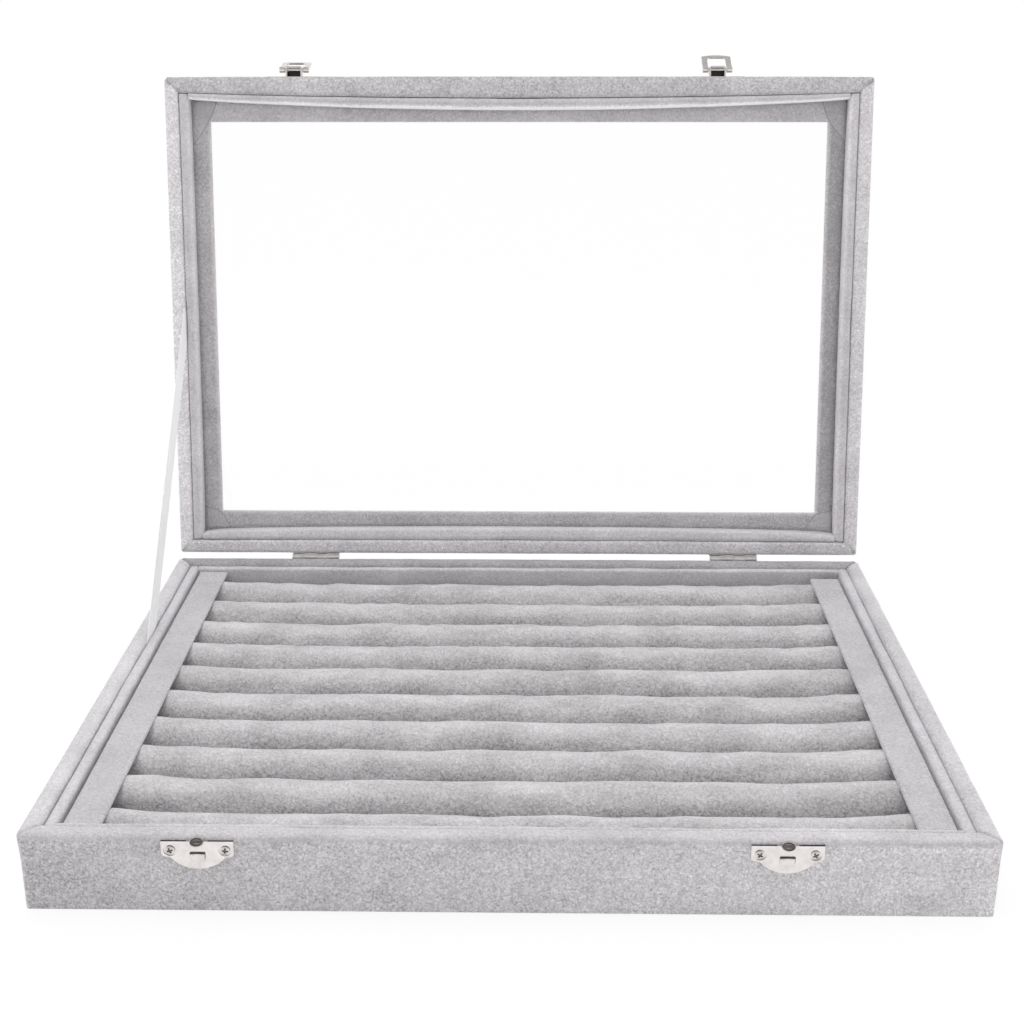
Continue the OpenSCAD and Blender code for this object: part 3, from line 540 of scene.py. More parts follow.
def ring_roll(node, seed, settled):
    """A velvet-covered foam roll, whose ends run under the side strips. Its cross-section
    is half a tall ellipse, w cos(a) across and (h - s) sin(a) up, over sides of height s
    that narrow to the foot. The crest settles by up to the given amount, as
    1 - (1 - d / 45)^2 at distance d from the ends. Long waves lift it, and slanting
    creases cross the slopes."""
    low, high = box_mm(node)
    length = high[0] - low[0]
    w, h = (high[1] - low[1]) / 2 - 0.02, high[2] - low[2]
    end = length / 2 + STRIP_LAP - 0.4
    x = np.linspace(-end, end, int(length / 1.5))
    a = np.linspace(0, math.pi, 45)
    spring = 0.29 * h
    foot = 0.9
    crown_y = np.cos(a)
    crown_z = spring + (h - spring) * np.sin(a)
    slope = np.linspace(0, 1, 7)[1:]
    wall_y = 1 - (1 - foot) * slope ** 1.5
    wall_z = spring * (1 - slope)
    flat = np.linspace(-1, 1, 9)[1:-1] * foot
    y = np.concatenate([crown_y, -wall_y, flat, wall_y[::-1]]) * w
    z = np.concatenate([crown_z, wall_z, np.zeros(len(flat)), wall_z[::-1]])
    rows = np.empty((len(x), len(y), 3))
    rows[..., 0] = x[:, None]
    rows[..., 1], rows[..., 2] = y, z
    up = np.clip(rows[..., 2] / h, 0, 1)
    # the foot narrows towards the side strips, and the crest dips away from them
    d = np.clip(length / 2 - np.abs(x), 0, None)[:, None]
    tuck = (1 - np.clip(d / 9, 0, 1)) ** 1.5
    rows[..., 1] *= 1 - 0.12 * tuck * np.clip(1.25 - 1.5 * up, 0, 1)
    free = np.clip(d / 8, 0, 1)
    rows[..., 2] -= up ** 2 * settled * (1 - (1 - np.clip(d / 45, 0, 1)) ** 2)
    rows[..., 2] += up ** 2 * free * 0.24 * waves(rows * [1, 0.2, 0], 34, seed)
    rows[..., 2] += up ** 2 * free * 0.15 * waves(rows * [1, 0.2, 0], 11, seed + 1)
    rows[..., 1] += up ** 2 * free * 0.22 * waves(rows * [1, 0, 0], 42, seed + 2)
    # slanting creases
    slant = rows @ np.array([[0.8, 0.5, 0], [-0.6, 0.7, 0], [0.3, -0.7, 0]]).T
    crease = waves(slant * [1, 0.25, 0.25], 8.5, seed + 3) * (waves(rows, 60, seed + 4) > 0.1)
    rows[..., 2] -= up * free * 0.06 * np.abs(crease)
    side = np.clip(np.abs(rows[..., 1]) / w, 0, 1)
    rows[..., 1] -= np.sign(rows[..., 1]) * side * free * 0.07 * (1 + crease)
    rows = rows + foot_middle(low, high)
    rows[..., 2] = rows[..., 2].clip(low[2], LAP_Z + 0.25 * free)
    # Painted shade, deeper down each roll towards the crease below it and more near its ends; the
    # flecks of the lower half are strengthened as painted shading of the pile
    below = np.clip((high[2] - settled - 0.8 - rows[..., 2]) / 7, 0, 1)
    near_end = (1 - np.clip(d / 10, 0, 1)) ** 2
    amount = 0.32 * below ** 0.6 * (1 - 0.4 * below) + 0.2 * below * near_end
    piece = press(bar_mesh(node.replace("ring_", "velvet_"), rows), amount)
    return press(piece, np.clip(1 - (rows[..., 2] - low[2]) / h, 0, 0.5) * 2, "painted_fleck_shading")


# ---------------------------------------------------------------- ribbon

# Length held in each groove. The second point it bends to leans forward by FOLD_LEAN and
# lies FOLD_SHARE of the way up.
RIBBON_TUCK = 5.0
FOLD_LEAN, FOLD_SHARE = math.radians(10), 0.8


def stay_ribbon():
    """White satin ribbon, drawn taut between the left grooves: a strip whose length runs
    along the solid's long axis, 0.16 thick, with a lift of 0.03 cos(4 pi v) across it
    and 0.02 sin(9 t) along it. Also gives its width, its length, and the two points
    between which it bends: its foot at the base's groove, and one in front of the
    ribbon, placed so that the fold of the shut box stays between its floor and its
    lid's top."""
    points = node_points("stay_ribbon")
    centre = points.mean(0)
    _, _, axes = np.linalg.svd(points - centre)
    run = axes[0] * np.sign(axes[0][2])
    across = axes[1]
    length = np.ptp(points @ run)
    width = np.ptp(points @ across)
    t = np.linspace(-0.5, 0.5, 121)[:, None]
    v = np.linspace(-0.5, 0.5, 13)[None, :]
    lift = 0.03 * np.cos(4 * math.pi * v) + 0.02 * np.sin(9 * t)
    body = centre + run * (t * length)[..., None] + across * (v * width)[..., None]
    front, back = body.copy(), body.copy()
    front[..., 0] += lift + 0.08
    back[..., 0] += lift - 0.08
    loop = np.concatenate([front, back[:, ::-1]], 1)
    foot = centre - run * (length / 2 - RIBBON_TUCK)
    lean = run * math.cos(FOLD_LEAN) + np.array([0, -run[2], run[1]]) * math.sin(FOLD_LEAN)
    free = (length - 2 * RIBBON_TUCK) * math.cos(FOLD_LEAN)
    return (bar_mesh("satin_stay_ribbon", loop), width * MM, length * MM,
            foot * MM, (foot + lean * FOLD_SHARE * free) * MM)


# ---------------------------------------------------------------- fittings

# Width of the bevel on a fitting's edges
EDGE_W = 0.14


def softened(node, name, planes=()):
    """A fitting with the solid's own shape: its triangles merged into whole faces, and
    every sharp edge rounded. Each (place, direction, cut) of planes splits the faces it
    crosses, and cuts off what is past it if cut is true."""
    mesh = frame["nodes"][node].data.copy()
    mesh.name = name
    work = bmesh.new()
    work.from_mesh(mesh)
    bmesh.ops.remove_doubles(work, verts=work.verts, dist=2e-6)
    bmesh.ops.dissolve_limit(work, angle_limit=math.radians(0.6), verts=work.verts,
                             edges=work.edges)
    for place, direction, cut in planes:
        parts = [*work.verts, *work.edges, *work.faces]
        bmesh.ops.bisect_plane(work, geom=parts, plane_co=[c * MM for c in place],
                               plane_no=direction, clear_outer=cut)
        bmesh.ops.holes_fill(work, edges=[e for e in work.edges if e.is_boundary])
    work.to_mesh(mesh)
    work.free()
    mesh.materials.clear()
    mesh.polygons.foreach_set("use_smooth", np.ones(len(mesh.polygons), bool))
    piece = new_object(name, mesh)
    bevel = piece.modifiers.new("edges", "BEVEL")
    bevel.width = EDGE_W * MM
    bevel.segments = 2
    bevel.limit_method = "ANGLE"
    bevel.angle_limit = math.radians(28)
    bevel.harden_normals = True
    mesh.set_sharp_from_angle(angle=math.radians(35))
    return piece


# Thickness of a catch's plate, and how far its lug rises above it
PLATE_T, LUG_RISE = 1.1, 1.5
# Half the width of the part between the slits, and the screws' distance from the middle
SLIT_X, SCREW_X = 3.9, 9.85


def catch_place(node):
    """A catch's middle in x, and the height of its plate's top edge."""
    low, high = box_mm(node)
    return middle_x(low, high), high[2] - LUG_RISE


def on_catch(node, across, out, up):
    """Points given across a catch, out from the box's face and up from its top edge."""
    x, top = catch_place(node)
    return np.stack([x + across, -HALF_D - out, top + up], -1)


def catch_plate(node, name):
    """A catch's plate, without its lug and channel. A dark reflection is painted on the top
    edge beside the lug, and shade on the upper side of each screw's dish."""
    x, top = catch_place(node)
    piece = softened(node, name, planes=(
        ((0, -HALF_D - PLATE_T - 0.02, 0), (0, -1, 0), True),
        ((0, 0, top + 0.02), (0, 0, 1), True),
        ((x - SLIT_X, 0, 0), (1, 0, 0), False), ((x + SLIT_X, 0, 0), (1, 0, 0), False)))
    faces = piece.data.polygons
    normal, centre = np.empty((2, len(faces) * 3), np.float32)
    faces.foreach_get("normal", normal)
    faces.foreach_get("center", centre)
    normal, centre = normal.reshape(-1, 3), centre.reshape(-1, 3) / MM
    off, height = np.abs(centre[:, 0] - x), centre[:, 2] - top
    edge = (normal[:, 2] > 0.8) & (np.abs(height) < 0.3) & (off > SLIT_X)
    dish = (np.abs(off - SCREW_X) < 2.6) & (normal[:, 2] < -0.2) & (height > -4)
    return press(piece, np.maximum(0.9 * edge, 0.7 * dish), "painted_dark", "FACE")


def ringed(name, rings, dark):
    """A closed mesh from rings of points, and the painted shade of the metal at each point."""
    return press(bar_mesh(name, rings), dark, "painted_dark")


def catch_lug(node, name):
    """A catch's lug: a cup whose oval mouth slants up and out, and whose wall runs back
    into the plate. At share t of the way back it has gone sqrt(t) of the way to its
    oval foot in height, and t squared of the way in depth."""
    a = np.arange(48) * math.pi / 24
    c, s = np.cos(a), np.sin(a)
    # half width, half height, depth below the mouth and painted shade of each ring; the cup's
    # inside is painted dark, as shade and dark reflection
    table = ((0.05, 0.03, 0.95, 0.35), (0.6, 0.35, 0.94, 0.4), (1.3, 0.8, 0.88, 0.7),
             (1.9, 1.15, 0.66, 0.9), (2.15, 1.34, 0.34, 0.85), (2.28, 1.44, 0.1, 0.4),
             (2.38, 1.54, 0.0, 0.0), (2.5, 1.65, 0.0, 0.0), (2.57, 1.72, 0.1, 0.0),
             (2.6, 1.75, 0.25, 0.1))
    rings = [np.stack([wide * c, 1.65 - 0.69 * tall * s - 0.72 * deep,
                       0.18 + 0.72 * tall * s - 0.69 * deep], -1) for wide, tall, deep, _ in table]
    mouth, foot = rings[-1], np.stack([2.6 * c, 0.25 + 0 * s, -0.18 + 1.6 * s], -1)
    for t in (0.08, 0.25, 0.5, 0.75, 1.0):
        rings.append(mouth + (foot - mouth) * [t, t ** 2, math.sqrt(t)])
    rings = np.array(rings)
    # Painted shade on the wall, deepest on its lower side, under the mouth
    dark = np.array([row[3] for row in table] + [0.2, 0.5, 0.7, 0.8, 0.8])[:, None] + 0 * c
    dark[-5:] *= np.clip(0.4 - s, 0.15, 1)
    return ringed(name, on_catch(node, *np.moveaxis(rings, -1, 0)), dark)


def catch_channel(node, name):
    """A catch's pressed channel, below its lug: a tongue with rounded edges, 0.7 proud
    at its top and fading out down the plate."""
    outline = rounded_outline([(-2.88, -4.42, 0.4), (2.88, -4.42, 0.4), (2.88, -9.1, 2.8),
                               (-2.88, -9.1, 2.8)], step=0.3, arc_steps=12)
    middle = np.array([0, -6.4])
    rings, dark = [], []
    for share, lift in ((1.0, -0.4), (1.0, -0.02), (0.98, 0.35), (0.93, 0.75), (0.86, 0.95),
                        (0.76, 1.0), (0.4, 1.0), (0.02, 1.0)):
        place = middle + (outline - middle) * share
        proud = 0.68 * np.clip((place[:, 1] + 9.1) / 3.9, 0, 1)
        out = PLATE_T + lift * (proud if lift > 0 else np.ones_like(proud))
        rings.append(on_catch(node, place[:, 0], out, place[:, 1]))
        # Painted shade: a dark band at the channel's top, under the lug, and along its right side
        edge = np.clip((place[:, 1] + 4.95 + 0.3 * (place[:, 0] / 2.9) ** 2) / 0.3, 0, 1)
        side = 0.5 * np.clip((place[:, 0] - 2.3) / 0.3, 0, 1)
        side = side * np.clip((place[:, 1] + 8.0) / 1.5, 0, 1)
        dark.append(np.maximum(0.9 * edge, side))
    return ringed(name, np.array(rings), np.array(dark))


def latch_leaf(node, name):
    """A spring leaf inside a latch's bridge, black as painted shade: a sheet 0.25 thick,
    bent to a U in plan. Its back closes the bridge's upper end, and its arms stop below the pin."""
    low, high = box_mm(node, lid=True)
    x, out = middle_x(low, high), -HALF_D - low[1]
    path = rounded_outline([(-3.2, -1.3, 0.05), (-3.2, 1.3, 0.7), (3.2, 1.3, 0.7),
                            (3.2, -1.3, 0.05), (2.95, -1.3, 0.05), (2.95, 1.05, 0.5),
                            (-2.95, 1.05, 0.5), (-2.95, -1.3, 0.05)], step=0.4)
    # the arms reach from 1.2 to 3.7 out from the lid's face, and the back to the bridge
    back = np.clip((path[:, 1] - 0.8) / 0.25, 0, 1)
    reach = 3.7 - 1.2 + back * (out - 0.9 - 3.7)
    share = np.linspace(0, 1, 9)[:, None]
    rows = np.stack([x + path[:, 0] + 0 * share, -HALF_D - 1.2 - reach * share,
                     PIVOT_Z + path[:, 1] + 0 * share], -1)
    return bar_mesh(name, opened(rows))


HEAD_H, SHANK_R, SHANK_LEN = 0.75, 0.9, 3.2


def screw_shape(head_r):
    """A cross-head screw along +Z, its head's seat at z = 0. The head is a dome
    h (1 - 0.55 (r / R)^2.4) less a cross-shaped recess; the shank is plain. Also gives
    the painted shade at each point: in the cross recess and round the head's edge."""
    turns = 64
    phi = np.arange(turns) * 2 * math.pi / turns
    r = np.concatenate([np.linspace(0.01, 0.72, 15), [0.8, 0.88, 0.94, 0.98, 1.0]]) * head_r
    x, y = r[:, None] * np.cos(phi), r[:, None] * np.sin(phi)
    rim_h = 0.45 * HEAD_H
    dome = rim_h + (HEAD_H - rim_h) * (1 - (r / head_r) ** 2.4)[:, None] + 0 * phi
    arm, reach = 0.17 * head_r, 0.62 * head_r
    near, far = np.minimum(np.abs(x), np.abs(y)), np.maximum(np.abs(x), np.abs(y))
    cut = np.clip((arm - near) / 0.12 + 0.5, 0, 1) * np.clip((reach - far) / 0.2 + 0.5, 0, 1)
    top = dome - 0.62 * HEAD_H * cut
    rings = list(np.stack([x, y, top], -1))
    for radius, z in ((head_r, 0.25 * rim_h), (0.97 * head_r, 0.0), (SHANK_R, 0.0),
                      (SHANK_R, -0.9 * SHANK_LEN), (0.02, -SHANK_LEN)):
        rings.append(np.stack([radius * np.cos(phi), radius * np.sin(phi), np.full(turns, z)], -1))
    shape = np.array(rings)
    dark = np.zeros(shape.shape[:2])
    dark[:len(r)] = 0.8 * cut
    dark[len(r):len(r) + 2] = 0.6
    return shape, dark


def screws(node, name, seat, out, lid):
    """The screws of a packed group, each where its solid is. The solids are told apart
    by the gaps in x, and seat is the head's seat, measured out from the box's face,
    which looks along -Y or Y as out is -1 or 1."""
    points = node_points(node)
    if lid:
        points = turned(points, LID_OPEN)
    xs = np.unique(points[:, 0].round(2))
    groups = np.split(xs, np.nonzero(np.diff(xs) > 2)[0] + 1)
    head_r = (groups[0][-1] - groups[0][0]) / 2
    all_points, all_quads, caps = [], [], []
    for k, group in enumerate(groups):
        here = (points[:, 0] > group[0] - 0.1) & (points[:, 0] < group[-1] + 0.1)
        x = (group[0] + group[-1]) / 2
        z = (points[here, 2].min() + points[here, 2].max()) / 2
        shape, dark = screw_shape(head_r)
        spin = 0.35 + 1.1 * k
        c, s = math.cos(spin), math.sin(spin)
        px = shape[..., 0] * c - shape[..., 1] * s
        pz = shape[..., 0] * s + shape[..., 1] * c
        placed = np.stack([x + px, out * (HALF_D + seat + shape[..., 2]), z + pz], -1)
        first = sum(len(p) for p in all_points)
        all_points.append(placed.reshape(-1, 3))
        all_quads.append(grid_quads(*shape.shape[:2], False, True, first))
        caps += end_caps(*shape.shape[:2], first)
    made = np.concatenate(all_points)
    piece = new_mesh(name, opened(made) if lid else made, np.concatenate(all_quads), caps,
                     smooth_below=30)
    return press(piece, np.tile(dark.ravel(), len(groups)), "painted_dark")


# ---------------------------------------------------------------- materials

def feed(tree, node, inputs):
    """Links or sets a node's inputs, given by label or by number."""
    for key, value in inputs.items():
        if isinstance(value, bpy.types.NodeSocket):
            tree.links.new(value, node.inputs[key])
        else:
            node.inputs[key].default_value = value


def add_node(tree, kind, inputs, **settings):
    """A new shader node with its settings made and its inputs fed."""
    node = tree.nodes.new("ShaderNode" + kind)
    for key, value in settings.items():
        setattr(node, key, value)
    feed(tree, node, inputs)
    return node


def calc(tree, operation, *values, clamp=False):
    """A Math node's result, held between 0 and 1 if clamp is true."""
    inputs = dict(enumerate(values))
    return add_node(tree, "Math", inputs, operation=operation, use_clamp=clamp).outputs[0]


def line(tree, value, slope, shift, clamp=False):
    """value times slope, plus shift."""
    return calc(tree, "MULTIPLY_ADD", value, slope, shift, clamp=clamp)


def noise(tree, vector, scale, detail=2.0, distortion=0.0, roughness=0.5):
    """A Noise Texture's value, centred on 0.5."""
    inputs = {"Vector": vector, "Scale": scale, "Detail": detail, "Distortion": distortion,
              "Roughness": roughness}
    return add_node(tree, "TexNoise", inputs).outputs["Fac"]


def mapped(tree, vector, scale, rotation=(0, 0, 0)):
    """A vector scaled, then turned."""
    inputs = {"Vector": vector, "Scale": scale, "Rotation": rotation}
    return add_node(tree, "Mapping", inputs).outputs["Vector"]


def painted(tree, name):
    """The value that press() stored under that name."""
    return add_node(tree, "Attribute", {}, attribute_name=name).outputs["Fac"]


def mixed(tree, share, first, second):
    """Two shaders mixed, with the second's share given."""
    return add_node(tree, "MixShader", {"Fac": share, 1: first, 2: second}).outputs["Shader"]


def ramp(tree, factor, stops):
    """A colour ramp with the given (place, colour) stops."""
    node = add_node(tree, "ValToRGB", {"Fac": factor})
    elements = node.color_ramp.elements
    while len(elements) < len(stops):
        elements.new(0.5)
    for element, (place, colour) in zip(elements, stops):
        element.position = place
        element.color = (*colour, 1)
    return node.outputs["Color"]


def bump(tree, height, distance):
    """A Bump node's normal; distance is in millimetres."""
    inputs = {"Strength": 1.0, "Distance": distance * MM, "Height": height}
    return add_node(tree, "Bump", inputs).outputs["Normal"]


def velvet_nap_group():
    """Nap of short velvet: tufts are a soft noise of 1.2 mm, with crooked parting lines
    where a wider noise crosses its middle value. Tone is their mottling with patches
    and slanting brush strokes added, and Height is the pile."""
    group = bpy.data.node_groups.new("velvet nap", "ShaderNodeTree")
    group.interface.new_socket("Vector", in_out="INPUT", socket_type="NodeSocketVector")
    for label in ("Fleck", "Patch", "Stroke"):
        group.interface.new_socket(label, in_out="INPUT", socket_type="NodeSocketFloat")
    for label in ("Tone", "Height"):
        group.interface.new_socket(label, in_out="OUTPUT", socket_type="NodeSocketFloat")
    given = group.nodes.new("NodeGroupInput").outputs
    place = given["Vector"]
    winding = noise(group, place, 480.0, 0.0, 0.8, 0.5)
    away = calc(group, "ABSOLUTE", calc(group, "SUBTRACT", winding, 0.5))
    ridge = calc(group, "SMOOTH_MIN", calc(group, "MULTIPLY", away, 5.0), 0.6, 0.8)
    height = line(group, ridge, RIDGE_SHARE, noise(group, place, TUFT_SCALE, 2.5, 0.6, 0.68))
    pile = line(group, height, 1.0, -0.5 - 0.42 * RIDGE_SHARE)
    patch = noise(group, place, 42.0, 1.0, 0.4, 0.6)
    slanted = mapped(group, place, (36, 130, 110), (0.4, 0.5, math.radians(38)))
    stroke = noise(group, slanted, 1.0, 2.0, 0.3)
    tone = line(group, pile, given["Fleck"], 0.5)
    for pattern, label in ((patch, "Patch"), (stroke, "Stroke")):
        tone = line(group, line(group, pattern, 1.0, -0.5), given[label], tone)
    feed(group, group.nodes.new("NodeGroupOutput"), {"Tone": tone, "Height": height})
    return group


# Tufts to a metre, the parting lines' share of the pile and the pile's height in
# millimetres
TUFT_SCALE, RIDGE_SHARE, PILE = 1100.0, 0.3, 0.45
nap = velvet_nap_group()


def new_material(name):
    """A material with its Principled shader, its node tree and Object coordinates."""
    material = bpy.data.materials.new(name)
    material.use_nodes = True
    tree = material.node_tree
    place = add_node(tree, "TexCoord", {}).outputs["Object"]
    return material, tree, tree.nodes["Principled BSDF"], place


def velvet(name, dark, light, fleck=0.8, stroke=0.25, pile=1.0):
    """Short grey velvet: the nap group's tone runs from dark to light, darker where painted
    shade is marked and lighter where painted light is, and its flecks are stronger where the pile's
    shading is painted."""
    material, tree, shader, place = new_material(name)
    flecks = line(tree, painted(tree, "painted_fleck_shading"), fleck, fleck)
    group = tree.nodes.new("ShaderNodeGroup")
    group.node_tree = nap
    feed(tree, group, {"Vector": place, "Fleck": flecks, "Patch": 0.3, "Stroke": stroke})
    tone = line(tree, painted(tree, "pressed"), -0.5, group.outputs["Tone"])
    middle = tuple(0.2 * a + 0.8 * b for a, b in zip(dark, light))
    # the top stop, near white, is reached by the lightest nap and where painted light is marked
    feed(tree, shader, {
        "Base Color": ramp(tree, tone, [(0.0, dark), (0.8, middle), (1.0, (0.95, 0.93, 0.96))]),
        "Normal": bump(tree, group.outputs["Height"], PILE * pile), "Roughness": 0.95,
        "Specular IOR Level": 0.15, "Sheen Weight": 0.9, "Sheen Roughness": 0.36,
        "Sheen Tint": (0.96, 0.95, 1.0, 1)})
    return material


def nickel_material(name, colour, roughness):
    """Bright nickel plate with faint polishing marks and random clouding, darkened to near black
    where painted shade and dark reflections are marked.
    """
    material, tree, shader, place = new_material(name)
    marks = noise(tree, mapped(tree, place, (300, 1800, 1800)), 1.0)
    cloud = noise(tree, place, 240.0, 3.0)
    shade = line(tree, painted(tree, "painted_dark"), -1.0, 1.0, clamp=True)
    shade = calc(tree, "MULTIPLY", shade, line(tree, cloud, 0.5, 0.7, clamp=True))
    feed(tree, shader, {
        "Base Color": ramp(tree, shade, [(0.0, (0.07, 0.05, 0.048)), (1.0, colour)]),
        "Roughness": line(tree, marks, 0.06, line(tree, cloud, 0.16, roughness - 0.08)),
        "Normal": bump(tree, marks, 0.004), "Metallic": 1.0})
    return material


def show_surface(tree, shader):
    """Makes a shader the material's or the world's surface."""
    label = "World Output" if "World Output" in tree.nodes else "Material Output"
    feed(tree, tree.nodes[label], {"Surface": shader})


def either_ray(tree, first, second):
    """One for rays of either kind."""
    rays = add_node(tree, "LightPath", {}).outputs
    return calc(tree, "MAXIMUM", rays[f"Is {first} Ray"], rays[f"Is {second} Ray"])


def glass_material():
    """Clear window glass. Shadow and diffuse rays pass straight through, so that it
    dims nothing."""
    material, tree, shader, place = new_material("window glass")
    smear = line(tree, noise(tree, place, 22.0, 3.0), 0.02, -0.008)
    feed(tree, shader, {"Base Color": (1, 1, 1, 1), "Transmission Weight": 1.0, "IOR": 1.45,
                        "Roughness": calc(tree, "MAXIMUM", smear, 0.0)})
    clear = add_node(tree, "BsdfTransparent", {"Color": (0.98, 0.98, 0.98, 1)})
    show_surface(tree, mixed(tree, either_ray(tree, "Shadow", "Diffuse"), shader.outputs["BSDF"],
                             clear.outputs["BSDF"]))
    return material


def grained_material(name, pattern, stops, relief, looks):
    """A plain material whose colour and relief in millimetres follow one pattern, made
    by pattern(tree, place). looks are numbers for the shader's own sockets."""
    material, tree, shader, place = new_material(name)
    grain = pattern(tree, place)
    feed(tree, shader, {"Base Color": ramp(tree, grain, stops), "Normal": bump(tree, grain, relief),
                        **looks})
    return material


def satin_yarns(tree, place):
    """Fine lengthwise yarns."""
    return noise(tree, mapped(tree, place, (200, 2600, 200)), 1.0)


def board_fibres(tree, place):
    """Short fibres of pressed board."""
    return noise(tree, place, 700.0, 3.0, 0.8)


def timber_material(name, along):
    """Plain sawn board: long grain along one axis, and darker pores."""
    scale = tuple(8 if k == along else 160 for k in range(3))
    return grained_material(
        name, lambda tree, place: noise(tree, mapped(tree, place, scale), 1.0, 4.0, 0.6),
        [(0.3, (0.46, 0.33, 0.20)), (0.7, (0.68, 0.54, 0.36))], 0.1, {"Roughness": 0.7})


cover_velvet = velvet("cover velvet", (0.30, 0.288, 0.30), (0.85, 0.825, 0.85))
liner_velvet = velvet("liner velvet", (0.30, 0.288, 0.30), (0.81, 0.785, 0.815))
strip_velvet = velvet("strip velvet", (0.26, 0.25, 0.26), (0.68, 0.66, 0.68), fleck=0.9, pile=0.9)
roll_velvet = velvet("roll velvet", (0.21, 0.20, 0.205), (0.82, 0.795, 0.815), fleck=0.72,
                     stroke=0.5)
under_velvet = velvet("underside velvet", (0.30, 0.29, 0.295), (0.60, 0.58, 0.59))
nickel = nickel_material("nickel plate", (0.80, 0.765, 0.75), 0.17)
screw_nickel = nickel_material("screw nickel", (0.70, 0.67, 0.66), 0.24)
# Black as painted shade, for the leaves inside the latches' bridges
painted_shade_steel = nickel_material("spring steel black as painted shade", (0.045, 0.04, 0.04), 0.4)
glass = glass_material()
satin = grained_material(
    "white satin", satin_yarns, [(0.25, (0.94, 0.94, 0.96)), (0.7, (1.0, 1.0, 1.0))], 0.008,
    {"Roughness": 0.42, "Sheen Weight": 1.0, "Sheen Roughness": 0.45, "Alpha": 0.9})
board = grained_material(
    "grey board", board_fibres, [(0.3, (0.30, 0.29, 0.27)), (0.7, (0.42, 0.41, 0.38))], 0.05,
    {"Roughness": 0.9})

# ---------------------------------------------------------------- build


def finish_piece(piece, material, body, slot, *nodes):
    """Gives a new piece its material and its body, and hides the imported nodes it stands in for.
    slot is not used.
    """
    piece.data.materials.clear()
    piece.data.materials.append(material)
    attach(piece, body)
    if nodes:
        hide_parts(*nodes)
    return piece


finish_piece(base_velvet_cover(), cover_velvet, "base", "velvet", "base_cover")
finish_piece(lid_velvet_cover(), cover_velvet, "lid", "velvet", "lid_cover")
finish_piece(window_corner_folds(), liner_velvet, "lid", "velvet")

# The seeds below keep every piece's unevenness its own
for index, side in enumerate(SIDES):
    piece = base_liner(f"base_{side}_liner", 30 + 3 * index)
    finish_piece(piece, liner_velvet, "base", "velvet", f"base_{side}_liner")
    piece = lid_liner(index, 50 + 3 * index)
    finish_piece(piece, liner_velvet, "lid", "velvet", f"lid_{side}_liner")

for index, side in enumerate(("left", "right")):
    piece = insert_strip(f"insert_{side}_strip", 70 + 4 * index)
    finish_piece(piece, strip_velvet, "base", "roll_velvet", f"insert_{side}_strip")

# How far the crest of each roll has settled, from the back to the front
ROLL_SETTLED = (1.4,) * 5 + (1.9,) * 4 + (2.5,)
for index, settled in enumerate(ROLL_SETTLED):
    node = f"ring_roll_{index + 1:02d}"
    piece = ring_roll(node, 100 + 7 * index, settled)
    finish_piece(piece, roll_velvet, "base", "roll_velvet", node)

ribbon, ribbon_width, ribbon_length, fold_start, fold_end = stay_ribbon()
ribbon.data.materials.append(satin)
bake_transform(ribbon)
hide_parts("stay_ribbon")

# Node, piece and body of each fitting, for the left and the right
FITTINGS = (("catch_{}", "{}_catch_plate", "base"), ("latch_plate_{}", "{}_latch", "lid"),
            ("hasp_{}", "{}_hasp_loop", "{}_hasp"),
            ("hinge_{}_base_leaf", "{}_hinge_base_leaf", "base"),
            ("hinge_{}_lid_leaf", "{}_hinge_lid_leaf", "lid"))
for pattern in FITTINGS:
    for side in ("left", "right"):
        node, name, body = (text.format(side) for text in pattern)
        if node.startswith("catch"):
            finish_piece(catch_plate(node, name), nickel, body, "nickel", node)
            finish_piece(catch_lug(node, name + "_lug"), nickel, body, "nickel")
            finish_piece(catch_channel(node, name + "_channel"), nickel, body, "nickel")
        else:
            finish_piece(softened(node, name), nickel, body, "nickel", node)
        if node.startswith("latch"):
            # the leaf is black as painted shade inside the bridge
            finish_piece(latch_leaf(node, name + "_leaf"), painted_shade_steel, body, "screw_steel")

# Seats of the screw heads, out from the box's face
PLATE_SEAT, LEAF_SEAT = 0.65, 0.8
for group, seat, out, body in (("catch", PLATE_SEAT, -1, "base"), ("latch", PLATE_SEAT, -1, "lid"),
                               ("hinge_base", LEAF_SEAT, 1, "base"),
                               ("hinge_lid", LEAF_SEAT, 1, "lid")):
    piece = screws(group + "_screws", group + "_cross_screws", seat, out, body == "lid")
    finish_piece(piece, screw_nickel, body, "screw_steel", group + "_screws")

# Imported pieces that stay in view, by their material
for material, nodes in (
        (nickel, ("hinge_left_pin", "hinge_right_pin", "hasp_pin_left", "hasp_pin_right")),
        (glass, ("lid_glass",)), (under_velvet, ("base_underlay",)), (board, ("insert_board",)),
        (timber_material("timber along x", 0), (
            "base_floor", "base_front_wall", "base_back_wall", "lid_front_rail",
            "lid_back_rail", "lid_window_frame")),
        (timber_material("timber along y", 1), ("base_left_wall", "base_right_wall")),
        (timber_material("timber up the lid", 2), ("lid_left_rail", "lid_right_rail"))):
    for node in nodes:
        slots = frame["nodes"][node].data.materials
        slots.clear()
        slots.append(material)

# ---------------------------------------------------------------- floor, light and camera


